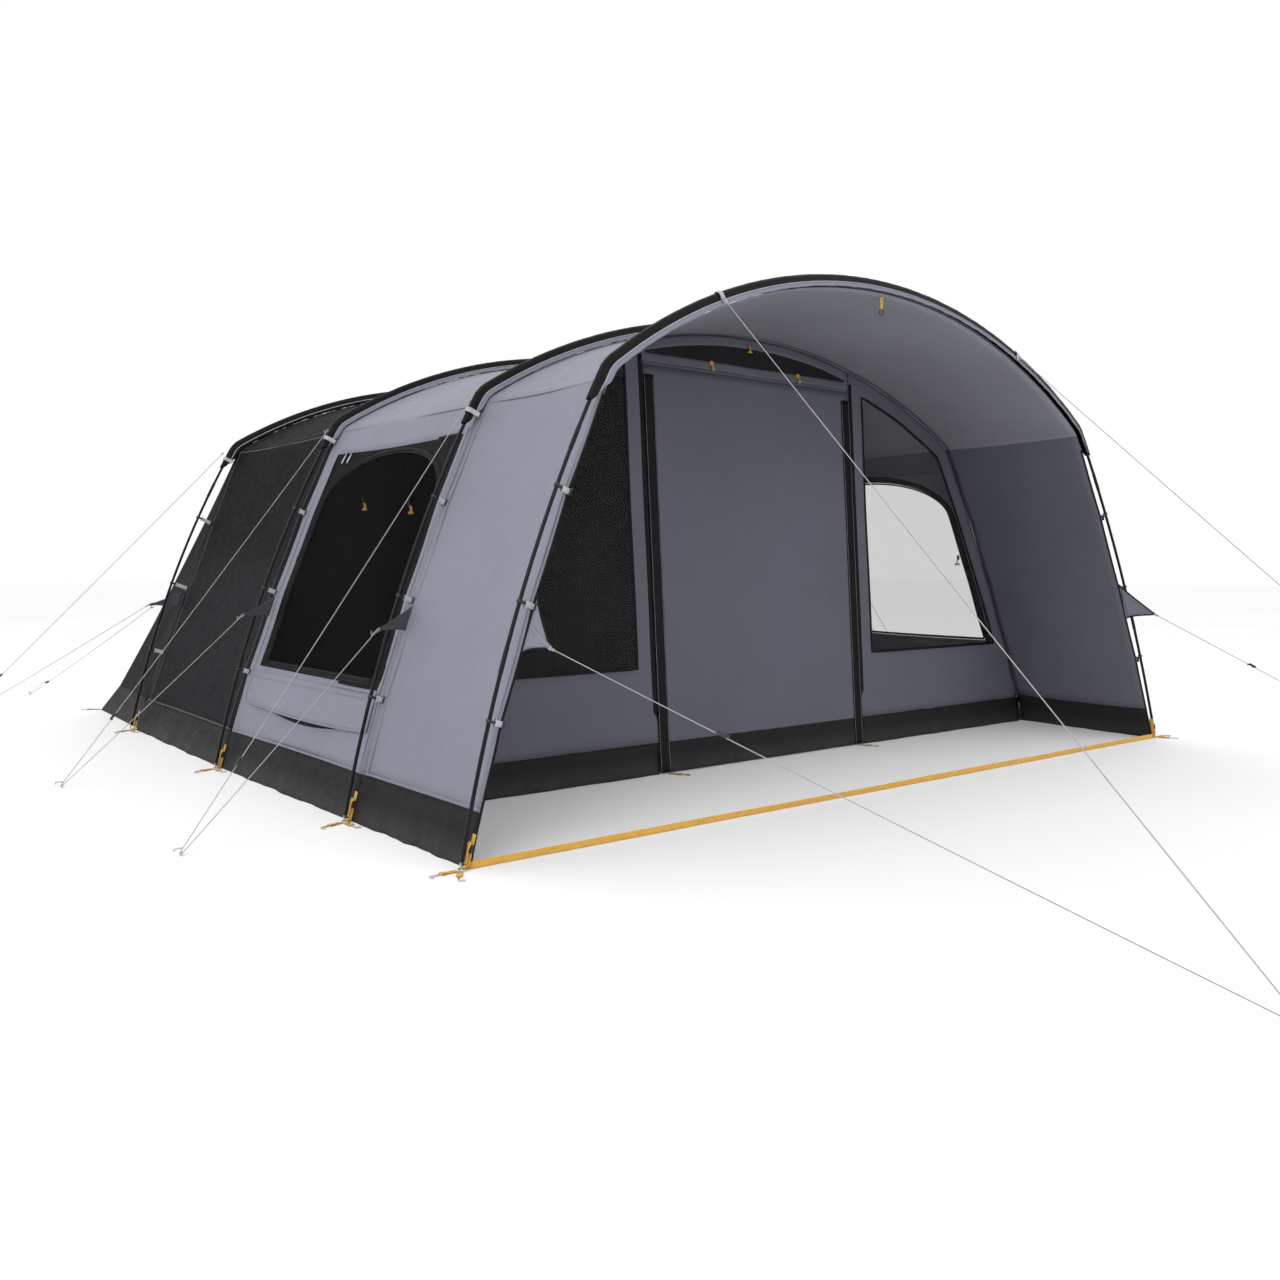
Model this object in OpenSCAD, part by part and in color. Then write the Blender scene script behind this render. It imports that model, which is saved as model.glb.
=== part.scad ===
// Family tunnel tent, pitched: four pole hoops, a fly in four bays with an open porch,
// a front wall with a door, side windows, an inner tent, guy ropes and pegs.
// Origin: middle of the floor under the tent. +X across the tent, +Y to the rear, +Z up.

/* [Hoops] */
// Half the distance between the feet of the front pole
foot_x = 2000; // [1980:5:2020]
// Half the distance between the elbows of the front pole
elbow_x = 1395; // [1385:5:1405]
// Height of the elbows, along the leaning hoop
elbow_z = 1535; // [1525:5:1545]
// Height of the front pole's crown, along the leaning hoop
crown_z = 2000; // [1990:5:2010]
// Outward bow of each leg
leg_bow = 60; // [55:1:65]
// Bend radius of the elbows
elbow_r = 150; // [120:10:180]
// Backward lean of every hoop, in degrees
lean = 4.4; // [4.2:0.1:4.6]
// Diameter of the poles
pole_d = 12.7; // [11:0.1:13]

/* [Bays] */
// Depth of the open porch, front pole to door pole
porch_len = 765; // [755:5:775]
// Depth of the living area, door pole to middle pole
living_len = 1255; // [1245:5:1265]
// Depth of the bedroom bay, middle pole to bedroom pole
bedroom_len = 1360; // [1350:5:1370]
// Depth of the sloping rear wall, bedroom pole to rear hem
rear_len = 1070; // [1060:5:1080]

/* [Fabric] */
// Thickness of a fabric panel's solid
cloth_t = 4; // [3:0.5:5]
// Height of the mud flap's top seam
flap_z = 160; // [150:5:170]
// Height of the window sills
sill_z = 450; // [440:5:460]
// Half the width of the front door, zip to zip
door_x = 640; // [630:5:650]
// Height of the front door's top seam
door_z = 1722; // [1715:1:1730]

/* [Ropes] */
// Diameter of the guy ropes
rope_d = 3; // [2.5:0.5:4]
// Width of the webbing straps
strap_w = 20; // [18:1:25]

/* [Hidden] */
$fn = 32;

y_front = -2205;                    // line of the front pole's feet
hoop_y = [y_front, y_front + porch_len, y_front + porch_len + living_len,
          y_front + porch_len + living_len + bedroom_len];
rear_y = hoop_y[3] + rear_len;
foot_grow = [0, 30, 80, 100];       // each hoop's feet stand this much wider than the front's
elbow_grow = [0, 25, 65, 95];
crown_drop = [0, 55, 35, 35];
leg_inset = [22, 22, 22, 52];       // how far the cloth hangs inside the legs at their middle
pole_r = pole_d / 2;
sleeve_r = 13;                      // outside of a sleeve, over the pole
roof_d = 36;                        // the fly's outer face lies this far inside the pole line
foot_z = 24;                        // the pole's tip stands this high, on its pin
clip_v = [0.27, 0.5, 0.74];         // the three pole clips, as fractions of a leg
ferrule_v = [0.385, 0.845];         // joints between pole sections on a leg
patch_v = 0.46;                     // guy patch on a leg
tie_v = 0.965;                      // shoulder guy loop on a leg
tie_x = 890;                        // the front pole's guy loops sit on the arch here
far = 720;                          // fineness of the large arcs, along the line
across = 24;                        // fineness across a pole

// ---- The line of a hoop, in its own plane: leg arc, elbow arc, roof arc ----
function foot(i) = [foot_x + foot_grow[i], 0];
function elbow(i) = [elbow_x + elbow_grow[i], elbow_z];
function crown(i) = crown_z - crown_drop[i];
function leg_r(i) = let (c = norm(elbow(i) - foot(i))) (c * c / 4 + leg_bow * leg_bow) / 2 / leg_bow;
function leg_c(i) = let (d = (elbow(i) - foot(i)) / norm(elbow(i) - foot(i)))
    (foot(i) + elbow(i)) / 2 - [d[1], -d[0]] * (leg_r(i) - leg_bow);
function roof_r(i) = let (q = crown(i) - elbow_z, e = elbow(i)[0]) (e * e + q * q) / 2 / q;
function roof_c(i) = [0, crown(i) - roof_r(i)];
function bend_c(i) = let (u = roof_c(i) - leg_c(i), d = norm(u), a = leg_r(i) - elbow_r,
    b = roof_r(i) - elbow_r, k = (a * a - b * b + d * d) / 2 / d)
    leg_c(i) + k * u / d + sqrt(a * a - k * k) * [-u[1], u[0]] / d;
function heading(p) = atan2(p[1], p[0]);
function foot_a(i) = heading(foot(i) - leg_c(i));
function tip_a(i) = foot_a(i) + foot_z / leg_r(i) * 180 / PI / cos(foot_a(i));
function bend_a(i) = heading(bend_c(i) - leg_c(i));
function roof_a(i) = heading(bend_c(i) - roof_c(i));

// v runs 0 at the right foot, 1 at the elbow's start, 1.2 at its end, 2 at the crown, 4 at the left foot
function turn(i, v) = v <= 1 ? foot_a(i) + (bend_a(i) - foot_a(i)) * v
    : v <= 1.2 ? bend_a(i) + (roof_a(i) - bend_a(i)) * (v - 1) / 0.2
    : roof_a(i) + (90 - roof_a(i)) * (v - 1.2) / 0.8;
function half_line(i, v, d) = let (a = turn(i, v), n = [cos(a), sin(a)])
    v <= 1 ? leg_c(i) + (leg_r(i) - d) * n
    : v <= 1.2 ? bend_c(i) + (elbow_r - d) * n : roof_c(i) + (roof_r(i) - d) * n;
function line(i, v, d) = let (p = half_line(i, v <= 2 ? v : 4 - v, d)) v <= 2 ? p : [-p[0], p[1]];
function inset(i, v) = let (w = v <= 2 ? v : 4 - v)
    w < 1 ? roof_d + leg_inset[i] * sin(180 * w) - 6 * (1 - w) : roof_d;

// A point of the fly on hoop i, deeper inside it by d, off its plane by off
function lifted(i, p, off = 0) = [p[0], hoop_y[i] + p[1] * sin(lean) + off, max(p[1], 0) * cos(lean)];
function hooped(i, v, d) = lifted(i, line(i, v, inset(i, v) + d));
function cloth(i, u, v, d) = (1 - u) * hooped(i, v, d) + u * hooped(i + 1, v, d);

// The height z on a leg, as v
function leg_v(z) = z / elbow_z;

// ---- Solids from rows of four points ----
// Two triangles from point j of one row to the next row; both faces of a cloth are cut alike
function quad(a, c, b, d, j, t) = j == 2 ? (t == 0 ? [a, c, b] : [c, d, b])
    : t == 0 ? [a, c, d] : [a, d, b];
module rows_solid(rows) {
    n = len(rows);
    sides = [for (k = [0:n - 2], j = [0:3], t = [0, 1])
        let (a = 4 * k + j, b = 4 * k + (j + 1) % 4) quad(a, a + 4, b, b + 4, j, t)];
    last = 4 * (n - 1);
    ends = [[0, 1, 2], [0, 2, 3], [last, last + 2, last + 1], [last, last + 3, last + 2]];
    polyhedron([for (r = rows) each r], concat(sides, ends), convexity = 6);
}

// A panel of cloth between hoops i and i+1: each row is [v, first u, last u]
module panel(i, rows, d = 0, t = cloth_t)
    rows_solid([for (r = rows)
        [cloth(i, r[1], r[0], d), cloth(i, r[2], r[0], d), cloth(i, r[2], r[0], d + t),
         cloth(i, r[1], r[0], d + t)]]);

module both_sides() {
    children();
    mirror([1, 0, 0]) children();
}

module in_hoop(i, off = 0) translate([0, hoop_y[i] + off, 0]) rotate([90 - lean, 0, 0]) children();
module arc(c, r, a, b) translate(c) rotate(a) rotate_extrude(angle = b - a, $fn = far)
    translate([r, 0]) children();
// Places its children on the line of hoop i at v, with X along the line and Y outwards
module on_line(i, v, d = 0) translate(line(i, v, d)) rotate(turn(i, v) - 90) children();

// ---- Poles, sleeves and feet ----
joint_gap = 0.02;                   // degrees left between two sections of a pole
section_v = [for (v = ferrule_v, k = [-1, 1]) v + k * 0.025];
// A leg's sections and the ferrules between them, each [start angle, end angle, radius]
function leg_parts(i) = let (a = concat([tip_a(i)], [for (v = section_v) turn(i, v)], [bend_a(i)]))
    [for (k = [0:len(a) - 2]) [a[k], a[k + 1], k % 2 == 0 ? pole_r : pole_r + 1]];
module hoop(i) in_hoop(i) {
    both_sides() {
        for (p = leg_parts(i))
            arc(leg_c(i), leg_r(i), p[0], p[1] - joint_gap / 10) circle(p[2], $fn = across);
        arc(bend_c(i), elbow_r, bend_a(i), roof_a(i) - joint_gap * 5) circle(pole_r, $fn = across);
    }
    arc(roof_c(i), roof_r(i), roof_a(i), 180 - roof_a(i)) circle(pole_r, $fn = across);
}
module pole_front() color("#141414") hoop(0);
module pole_door() color("#141414") hoop(1);
module pole_middle() color("#141414") hoop(2);
module pole_bedroom() color("#141414") hoop(3);

// Cut across a sleeve: X outwards from the pole line, with the channel that the pole runs in
module sleeve_cut() difference() {
    polygon([[sleeve_r, -6], [sleeve_r, 6], [9, 12], [0, 14], [5.5 - roof_d, 22], [3.5 - roof_d, 22],
             [3.5 - roof_d, -22], [5.5 - roof_d, -22], [0, -14], [9, -12]]);
    circle(pole_r + 2.5, $fn = across);
}
module pole_sleeves() color("#1a1a1c") for (i = [0:3]) in_hoop(i) {
    both_sides() {
        arc(leg_c(i), leg_r(i), turn(i, 0.945), bend_a(i) - joint_gap / 10) sleeve_cut();
        arc(bend_c(i), elbow_r, bend_a(i), roof_a(i) - joint_gap * 5) sleeve_cut();
    }
    arc(roof_c(i), roof_r(i), roof_a(i), 180 - roof_a(i)) sleeve_cut();
}

module at_feet() for (i = [0:3], s = [-1, 1]) translate([s * foot(i)[0], hoop_y[i], 0])
    scale([s, 1, 1]) children();
ring_r = 14;
wire_r = 2.5;
module foot_pins() color("#9a9da0") at_feet() {
    translate([2 * wire_r + 1 - ring_r, 0, wire_r]) rotate_extrude() translate([ring_r, 0])
        circle(wire_r, $fn = 16);
    cylinder(r = wire_r, h = foot_z - 0.5);
}

// ---- Fly ----
flap_v = leg_v(flap_z);
sill_v = leg_v(sill_z);
head_v = 0.925;                     // top edge of the side windows, just under the seam
leg_vs = [flap_v, 0.2, sill_v, 0.4, 0.5, 0.6, 0.7, 0.8, 0.87, head_v];
roof_vs = [1, 1.07, 1.13, 1.2, 1.35, 1.5, 1.65, 1.8, 2];
half_vs = concat(leg_vs, roof_vs);
function mirrored(vs) = [for (k = [len(vs) - 1:-1:0]) 4 - vs[k]];
over_vs = concat(half_vs, [for (v = mirrored(half_vs)) if (v > 2) v]);
function band(vs, a, b) = [for (v = vs) [v, a, b]];

module fly_porch() color("#8c8f9c") panel(0, band(over_vs, 0, 1));
win_u = [0.05, 0.93];               // the window bay's sides, as fractions of the living bay
function between(vs, a, b) = [for (v = vs) if (v >= a - 0.001 && v <= b + 0.001) v];
// The wall round a side window, as one ring: each row is [u, v at the rim, u, v at the window]
ring_rows = let (n = 8, t = [for (k = [0:n - 1]) k / n], a = win_u[0], b = win_u[1],
    lo = flap_v, hi = 0.999)
    concat([for (k = t) [0, lo + (hi - lo) * k, a, sill_v + (head_v - sill_v) * k]],
        [for (k = t) [k, hi, a + (b - a) * k, head_v]],
        [for (k = t) [1, hi + (lo - hi) * k, b, head_v + (sill_v - head_v) * k]],
        [for (k = t) [1 - k, lo, b + (a - b) * k, sill_v]]);
module ring_wall(i) {
    n = len(ring_rows);
    points = [for (r = ring_rows) each [cloth(i, r[0], r[1], 0), cloth(i, r[2], r[3], 0),
        cloth(i, r[2], r[3], cloth_t), cloth(i, r[0], r[1], cloth_t)]];
    polyhedron(points, [for (k = [0:n - 1], j = [0:3], t = [0, 1])
        let (m = (k + 1) % n, i = (j + 1) % 4) quad(4 * k + j, 4 * m + j, 4 * k + i, 4 * m + i, j, t)],
        convexity = 6);
}
module fly_living() color("#8c8f9c") {
    panel(1, band(between(over_vs, 1, 3), 0, 1));
    both_sides() ring_wall(1);
}
module fly_bedroom() color("#2b2a2e") panel(2, band(over_vs, 0, 1));

// The rear: from the bedroom hoop down to a seam at flap height, then the flap to the hem
rear_corner = [1975, hoop_y[3] + 760];
rear_hem_corner = [2040, hoop_y[3] + 960];
function along(a, b, t) = a + (b - a) * t;
// The seam (k = 0) or the hem (k = 1) opposite v on the bedroom hoop
function rear_line(v, k) = let (w = v <= 2 ? v : 4 - v,
    c = along(rear_corner, rear_hem_corner, k), b = [0, rear_y - 130 * (1 - k)],
    a = [hooped(3, flap_v, 0)[0] + 40 * k, hoop_y[3] + 30],
    q = w <= 1 ? along(a, c, (w - flap_v) / (1 - flap_v)) : along(c, b, sin(90 * (w - 1))))
    [v <= 2 ? q[0] : -q[0], q[1], flap_z * (1 - k)];
rear_start = flap_v + 0.008;
rear_vs = concat([rear_start], [for (v = over_vs) if (v > rear_start && v < 4 - rear_start) v],
    [4 - rear_start]);
// Inward from the rear surface: mostly down and forward
function rear_in(v, t) = let (w = v <= 2 ? v : 4 - v, side = v <= 2 ? 1 : -1)
    w <= 1 ? [-side * t, 0, 0] : [0, -t * 0.7, -t * 0.7];
module fly_rear() color("#2b2a2e") rows_solid([for (v = rear_vs)
    let (a = hooped(3, v, 0), m = rear_line(v, 0), b = hooped(3, v, cloth_t))
    [a + [0, 1, 0], m, m + rear_in(v, cloth_t), b + [0, 1, 0]]]);
module mud_flap_rear() color("#232226") rows_solid([for (v = rear_vs)
    let (m = rear_line(v, 0), h = rear_line(v, 1), w = v <= 2 ? v : 4 - v, side = v <= 2 ? 1 : -1,
         n = w <= 1 ? [-side * cloth_t, 0, 0] : [0, -cloth_t, 0])
    [m - [0, 0, 4.5], h, h + n, m + n - [0, 0, 4.5]]]);
module flap_side() {
    vs = [0, 0.05, flap_v - 0.001];
    for (i = [0:2]) panel(i, band(vs, i == 0 ? 0 : 0.001, 0.999));
    // from the bedroom hoop back to where the rear flap begins
    a = [for (v = [0, flap_v - 0.001], d = [0, cloth_t]) hooped(3, v, d)];
    m = rear_line(rear_vs[0], 0) - [0, 3, 1];
    h = rear_line(rear_vs[0], 1) - [0, 3, 0];
    t = [cloth_t, 0, 0];
    rows_solid([[a[0], h, h - t, a[1]], [a[2], m, m - t, a[3]]]);
}
module mud_flap_left() color("#232226") mirror([1, 0, 0]) flap_side();
module mud_flap_right() color("#232226") flap_side();

// ---- Side windows: an arched mesh panel in a dark surround ----
arch_mid = 0.49;                    // the arch's centre and half width, as fractions of the bay
arch_half = 0.385;
arch_from = leg_v(960);
arch_top = leg_v(1375);
function arch_w(v, g) = v <= arch_from ? arch_half - g
    : (arch_half - g) * sqrt(max(0, 1 - pow((v - arch_from) / (arch_top - g - arch_from), 2)));
arch_vs = [sill_v, 0.4, 0.5, 0.6, arch_from, 0.68, 0.74, 0.79, 0.83, 0.86, 0.88, 0.891];
surround_vs = concat(arch_vs, [arch_top + 0.004, head_v]);
edge = 0.004;                       // clearance between surround, mesh and fly
module surround() for (s = [0, 1]) {
    rows = [for (v = surround_vs) let (w = arch_w(v, 0), e = s == 0 ? win_u[0] + edge : win_u[1] - edge,
        a = v < arch_top ? arch_mid + (s == 0 ? -w : w) : arch_mid,
        vv = v == sill_v ? v + edge : v == head_v ? v - edge : v) s == 0 ? [vv, e, a] : [vv, a, e]];
    panel(1, rows);
}
module window_surrounds() color("#1b1b1d") both_sides() surround();
module mesh_window() panel(1, [for (v = [for (a = arch_vs) if (a < arch_top - 0.02) a])
    let (w = arch_w(v, 0.008)) [v == sill_v ? v + 2 * edge : v, arch_mid - w, arch_mid + w]],
    0.5, cloth_t - 1);
module mesh_window_left() color("#2f3032", 0.8) mirror([1, 0, 0]) mesh_window();
module mesh_window_right() color("#2f3032", 0.8) mesh_window();

// ---- Front wall, on the door hoop ----
wall_vs = concat([0, 0.05], half_vs);
wall_gap = cloth_t + 3;
module arch_outline(d) polygon(concat([for (v = wall_vs) line(1, v, inset(1, v) + d)],
    [for (v = mirrored(wall_vs)) line(1, v, inset(1, v) + d)]));
module wall_slab(t = cloth_t) in_hoop(1) translate([0, 0, -t / 2]) linear_extrude(t) children();
module span(x0, x1, z0, z1) translate([x0, z0]) square([x1 - x0, z1 - z0]);
window_frame = 85;                  // cloth left between the arch and the front window
window_x = 735;
module window_outline(d = 0) intersection() {
    arch_outline(wall_gap + window_frame + d);
    span(window_x + d, 3000, sill_z + d, 2000);
}
module front_wall() wall_slab() difference() {
    intersection() {
        arch_outline(wall_gap);
        span(door_x + 3, 3000, flap_z - 25, 2100);
    }
    window_outline();
}
module front_wall_right() color("#63646e") front_wall();
module front_wall_left() color("#63646e") mirror([1, 0, 0]) front_wall();
module front_windows() color("#17181a", 0.6) both_sides() wall_slab(2) window_outline(1);
header_gap = 14;                    // room for the door's top edge to turn
vent_z = 1772;
module header_outline() intersection() {
    arch_outline(wall_gap);
    span(-door_x, door_x, door_z + header_gap, 2100);
}
module vent_outline(d = 0) intersection() {
    arch_outline(wall_gap + 45 + d);
    span(-door_x + 20 + d, door_x - 20 - d, vent_z + d, 2100);
}
module door_header() color("#63646e") wall_slab() difference() {
    header_outline();
    vent_outline();
}
module vent_mesh() color("#1c1c1e") wall_slab(2) vent_outline(1);
module mud_flap_front() color("#232226") both_sides() wall_slab() intersection() {
    arch_outline(wall_gap);
    span(door_x + 3, 3000, 0.5, flap_z - 26);
}

// ---- Front door ----
door_low = 4;
module front_door() color("#5c5e69") wall_slab() span(3 - door_x, door_x - 3, door_low, door_z);
cover_w = 58;
module zip_covers() color("#1d1d20") both_sides() in_hoop(1)
    translate([door_x - cover_w / 2, door_low + 2, cloth_t / 2 + 1])
    cube([cover_w, door_z - 40 - door_low, 2.5]);
slider_z = 60;
module zip_slider() in_hoop(1) translate([door_x, slider_z, -cloth_t / 2 - 6]) {
    cube([11, 22, 7], center = true);
    translate([0, -26, -2]) cube([7, 32, 2.5], center = true);
}
module zip_slider_left() color("#b9babc") mirror([1, 0, 0]) zip_slider();
module zip_slider_right() color("#b9babc") zip_slider();

toggle_x = [-250, 290];
toggle_z = door_z + header_gap + 24;
module door_toggles() color("#e3a93c") for (x = toggle_x)
    in_hoop(1) translate([x, toggle_z, cloth_t / 2 + 9]) {
        rotate([0, 90, 0]) cylinder(r = 3, h = 12, center = true);
        translate([-3.5, -14, -1]) cube([7, 14, 2]);
        translate([0, -20, 0]) rotate([90, 0, 0]) cylinder(r = 5, h = 18, center = true);
    }

// ---- Guy patches, clips and loops ----
// A thin plate with the corners a, b and c
module plate3(a, b, c, t = 3) {
    n = cross(b - a, c - a) / norm(cross(b - a, c - a)) * t / 2;
    polyhedron([a - n, b - n, c - n, a + n, b + n, c + n],
        [[0, 1, 2], [3, 5, 4], [0, 3, 4], [0, 4, 1], [1, 4, 5], [1, 5, 2], [2, 5, 3], [2, 3, 0]]);
}
patch_off = [-4, -26, -26, 26];     // a patch is sewn on this far to the side of its pole
patch_half = [[0.05, 0.06], [0.03, 0.03], [0.03, 0.03], [0.03, 0.03]];   // its reach down and up the leg
// Each patch runs from the cloth beside its pole out to the end of its rope
module guy_patches() color("#6b6d78") both_sides() for (i = [0:3])
    let (d = inset(i, patch_v) - (i == 0 ? 2 : 4), tie = moved(rope_pts[i][2]),
        low = lifted(i, line(i, patch_v - patch_half[i][0], d), patch_off[i]),
        top = lifted(i, line(i, patch_v + patch_half[i][1], d), patch_off[i]))
    plate3(low, top, tie + 2 * unit((low + top) / 2 - tie));
module at_clips() both_sides() for (i = [0:3], v = clip_v) in_hoop(i) on_line(i, v)
    let ($deep = inset(i, v)) children();
module clip_hooks() color("#151515") at_clips() difference() {
    union() {
        rotate([0, 90, 0]) cylinder(r = pole_r + 3.5, h = 9, center = true);
        translate([-4.5, -21, -3]) cube([9, 13, 6]);
    }
    rotate([0, 90, 0]) cylinder(r = pole_r + 0.6, h = 20, center = true);
}
module clip_tapes() color("#a9abb0") at_clips()
    translate([-strap_w / 2, 1 - $deep, -1]) cube([strap_w, $deep - 23, 2]);
// The loops of webbing round the sleeves, open to the inside
module webbing_loop() rotate([0, 90, 0]) difference() {
    cylinder(r = 17.5, h = strap_w, center = true);
    cylinder(r = 15.3, h = strap_w + 2, center = true);
    translate([0, -20, 0]) cube([60, 40, strap_w + 4], center = true);
}
function arch_v(x) = 1.2 + 0.8 * (acos(x / roof_r(0)) - roof_a(0)) / (90 - roof_a(0));
module guy_loops() color("#d9dadb") both_sides() {
    in_hoop(0) on_line(0, arch_v(tie_x)) webbing_loop();
    for (i = [1:3]) in_hoop(i) on_line(i, tie_v) webbing_loop();
}

// ---- Webbing at the feet ----
// From the ring up to the flap: a strap, with its buckle
module foot_webbing() color("#e3ad45") at_feet() translate([-22, 0, wire_r])
    rotate([0, -14, 0]) translate([0, -strap_w / 2, wire_r + 1]) cube([1.5, strap_w, 98]);
module foot_buckles() color("#161616") at_feet() translate([-22, 0, wire_r]) rotate([0, -14, 0])
    translate([2, 0, 46]) difference() {
        translate([0, -14, 0]) cube([6, 28, 24]);
        for (z = [4, 13]) translate([-1, -10.5, z]) cube([8, 21, 6]);
    }
strap_end = foot_x - 29;
module front_strap() color("#e3ad45")
    translate([-strap_end, y_front - 4, 0.5]) cube([2 * strap_end, 2, strap_w + 2]);
loop_turn = [[-58, -6], [-88, -22], [-88, -22], [-88, -30]];   // directions of the two loops at a foot
loop_len = 66;
module at_loops() for (i = [0:3], s = [-1, 1], a = loop_turn[i]) translate([s * foot(i)[0], hoop_y[i], 0])
    scale([s, 1, 1]) rotate(a) children();
rear_peg_x = [-2040, -1000, 0, 1000, 2040];
module at_rear_pegs() for (x = rear_peg_x) translate([x, abs(x) > 1500 ? rear_hem_corner[1]
    : rear_y - 24 * abs(x) / 1000, 0]) rotate(abs(x) > 1500 ? (x > 0 ? 30 : 150) : 90) children();
front_peg_x = 600;
module at_wall_pegs() for (s = [-1, 1]) translate([s * front_peg_x, hoop_y[1] - 4, 0])
    rotate(-62) children();
module webbing_flat(from, length) translate([from, -strap_w / 2, 0]) cube([length, strap_w, 2]);
module peg_loops() color("#e3ad45") {
    at_loops() webbing_flat(ring_r + 4, loop_len - ring_r);
    at_rear_pegs() webbing_flat(4, 70);
    at_wall_pegs() webbing_flat(4, 60);
}
// The head of a wire peg, as far as it stands out of the ground
module peg_head(x) translate([x, 0, wire_r]) {
    rotate([0, 90, 0]) cylinder(r = wire_r, h = 34);
    translate([34, 0, 0]) sphere(wire_r);
    translate([34, 0, 0]) rotate([90, 0, 0]) cylinder(r = wire_r, h = 18);
    translate([34, -18, 0]) sphere(wire_r);
}
module foot_pegs() color("#8e9194") {
    at_loops() peg_head(loop_len + 5);
    at_rear_pegs() peg_head(75);
    at_wall_pegs() peg_head(65);
}

// ---- Inside ----
sheet_x = 1925;
module groundsheet() color("#3a3b40") translate([-sheet_x, hoop_y[1] + 20, 0])
    cube([2 * sheet_x, living_len + bedroom_len + 640, 3]);
inner_d = 95;                       // the inner tent hangs this far inside the fly
inner_u = [0.06, 0.96];
inner_vs = [for (v = over_vs) if (v > 0.12 && v < 3.88) v];
module inner_outline(i, d) polygon(concat([[line(i, 0.05, inset(i, 0.05) + d)[0], 14]],
    [for (v = inner_vs) line(i, v, inset(i, v) + d)],
    [[-line(i, 0.05, inset(i, 0.05) + d)[0], 14]]));
inner_door = [260, 1250];           // each bedroom door, from the middle seam outwards
module inner_tent() color("#1e1e21") union() {
    panel(2, [for (v = inner_vs) [v, inner_u[0], inner_u[1]]], inner_d, 3);
    translate([-1830, hoop_y[2] + 80, 5]) cube([3660, bedroom_len - 90, 3]);
    in_hoop(2, inner_u[0] * bedroom_len) translate([0, 0, -1.5]) linear_extrude(3) difference() {
        inner_outline(2, inner_d + 5);
        for (s = [-1, 1]) scale([s, 1]) span(inner_door[0], inner_door[1], 200, 1350);
    }
    in_hoop(3, (inner_u[1] - 1) * bedroom_len) translate([0, 0, -1.5]) linear_extrude(3)
        inner_outline(3, inner_d + 6);
}

hook_x = 10;
hook_y = y_front + 170;
hook_z = 1948;
module lantern_hook() color("#e3a93c") translate([hook_x, hook_y, hook_z]) {
    rotate([0, 90, 0]) cylinder(r = 2.5, h = 22, center = true);
    translate([-8, -1, -46]) cube([16, 2, 46]);
    translate([0, 0, -58]) rotate([90, 0, 0]) rotate_extrude() translate([12, 0]) circle(2, $fn = 16);
}

// ---- Guy ropes: loop on the tent, round the peg, back to the patch ----
// [loop end, peg, patch end], from the front pole's foot line, x positive on the right
rope_pts = [
    [[890, 118, 1807], [1170, -1900, 9], [1757, -105, 640]],
    [[1475, 852, 1490], [2590, 662, 9], [1900, 765, 652]],
    [[1512, 2108, 1490], [2675, 1990, 9], [1952, 2020, 652]],
    [[1540, 3528, 1490], [2820, 4145, 9], [1970, 3478, 652]],
    [[1946, 3500, 640], [2250, 5380, 9], [0, 0, 0]]];
front_peg_left = [1245, -1945, 9];
front_peg_right = [1090, -1850, 9];
turn_r = 8;
function moved(p) = [p[0], p[1] + y_front, p[2]];
function unit(p) = p / norm(p);
// The route of rope k: straight down, round the peg, and back up
function route(k, peg) = let (a = moved(rope_pts[k][0]), p = moved(peg),
    b = k < 4 ? moved(rope_pts[k][2]) : p + (a - p) * 0.16 + [16, 0, 0],
    m = -unit(unit(a - p) + unit(b - p)), level = unit(cross(m, [0, 0, 1])),
    n = (a - b) * level > 0 ? level : -level)
    concat([a], [for (t = [90:-36:-90]) p + turn_r * (sin(t) * n + cos(t) * m)], [b]);
rope_sides = 8;
module rope(pts) {
    n = len(pts);
    dirs = [for (k = [0:n - 1]) unit(pts[min(k + 1, n - 1)] - pts[max(k - 1, 0)])];
    rings = [for (k = [0:n - 1]) let (d = dirs[k], s = unit(cross(d, [0.3, 0.2, 1])), w = cross(d, s))
        for (j = [0:rope_sides - 1]) pts[k] + rope_d / 2 * (cos(45 * j) * s + sin(45 * j) * w)];
    sides = [for (k = [0:n - 2], j = [0:rope_sides - 1], t = [0, 1])
        let (a = k * rope_sides + j, b = k * rope_sides + (j + 1) % rope_sides)
        t == 0 ? [a, a + rope_sides, b + rope_sides] : [a, b + rope_sides, b]];
    first = [for (j = [0:rope_sides - 1]) j];
    last = [for (j = [rope_sides - 1:-1:0]) (n - 1) * rope_sides + j];
    polyhedron(rings, concat(sides, [first], [last]));
}
function peg_at(k, s) = k > 0 ? rope_pts[k][1] : s < 0 ? front_peg_left : front_peg_right;
module guy(k, s) color("#dcdcda") scale([s, 1, 1]) rope(route(k, peg_at(k, s)));

runner_at = [0.69, 0.17, 0.17, 0.17, 0.16];     // share of the way up from the peg
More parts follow.
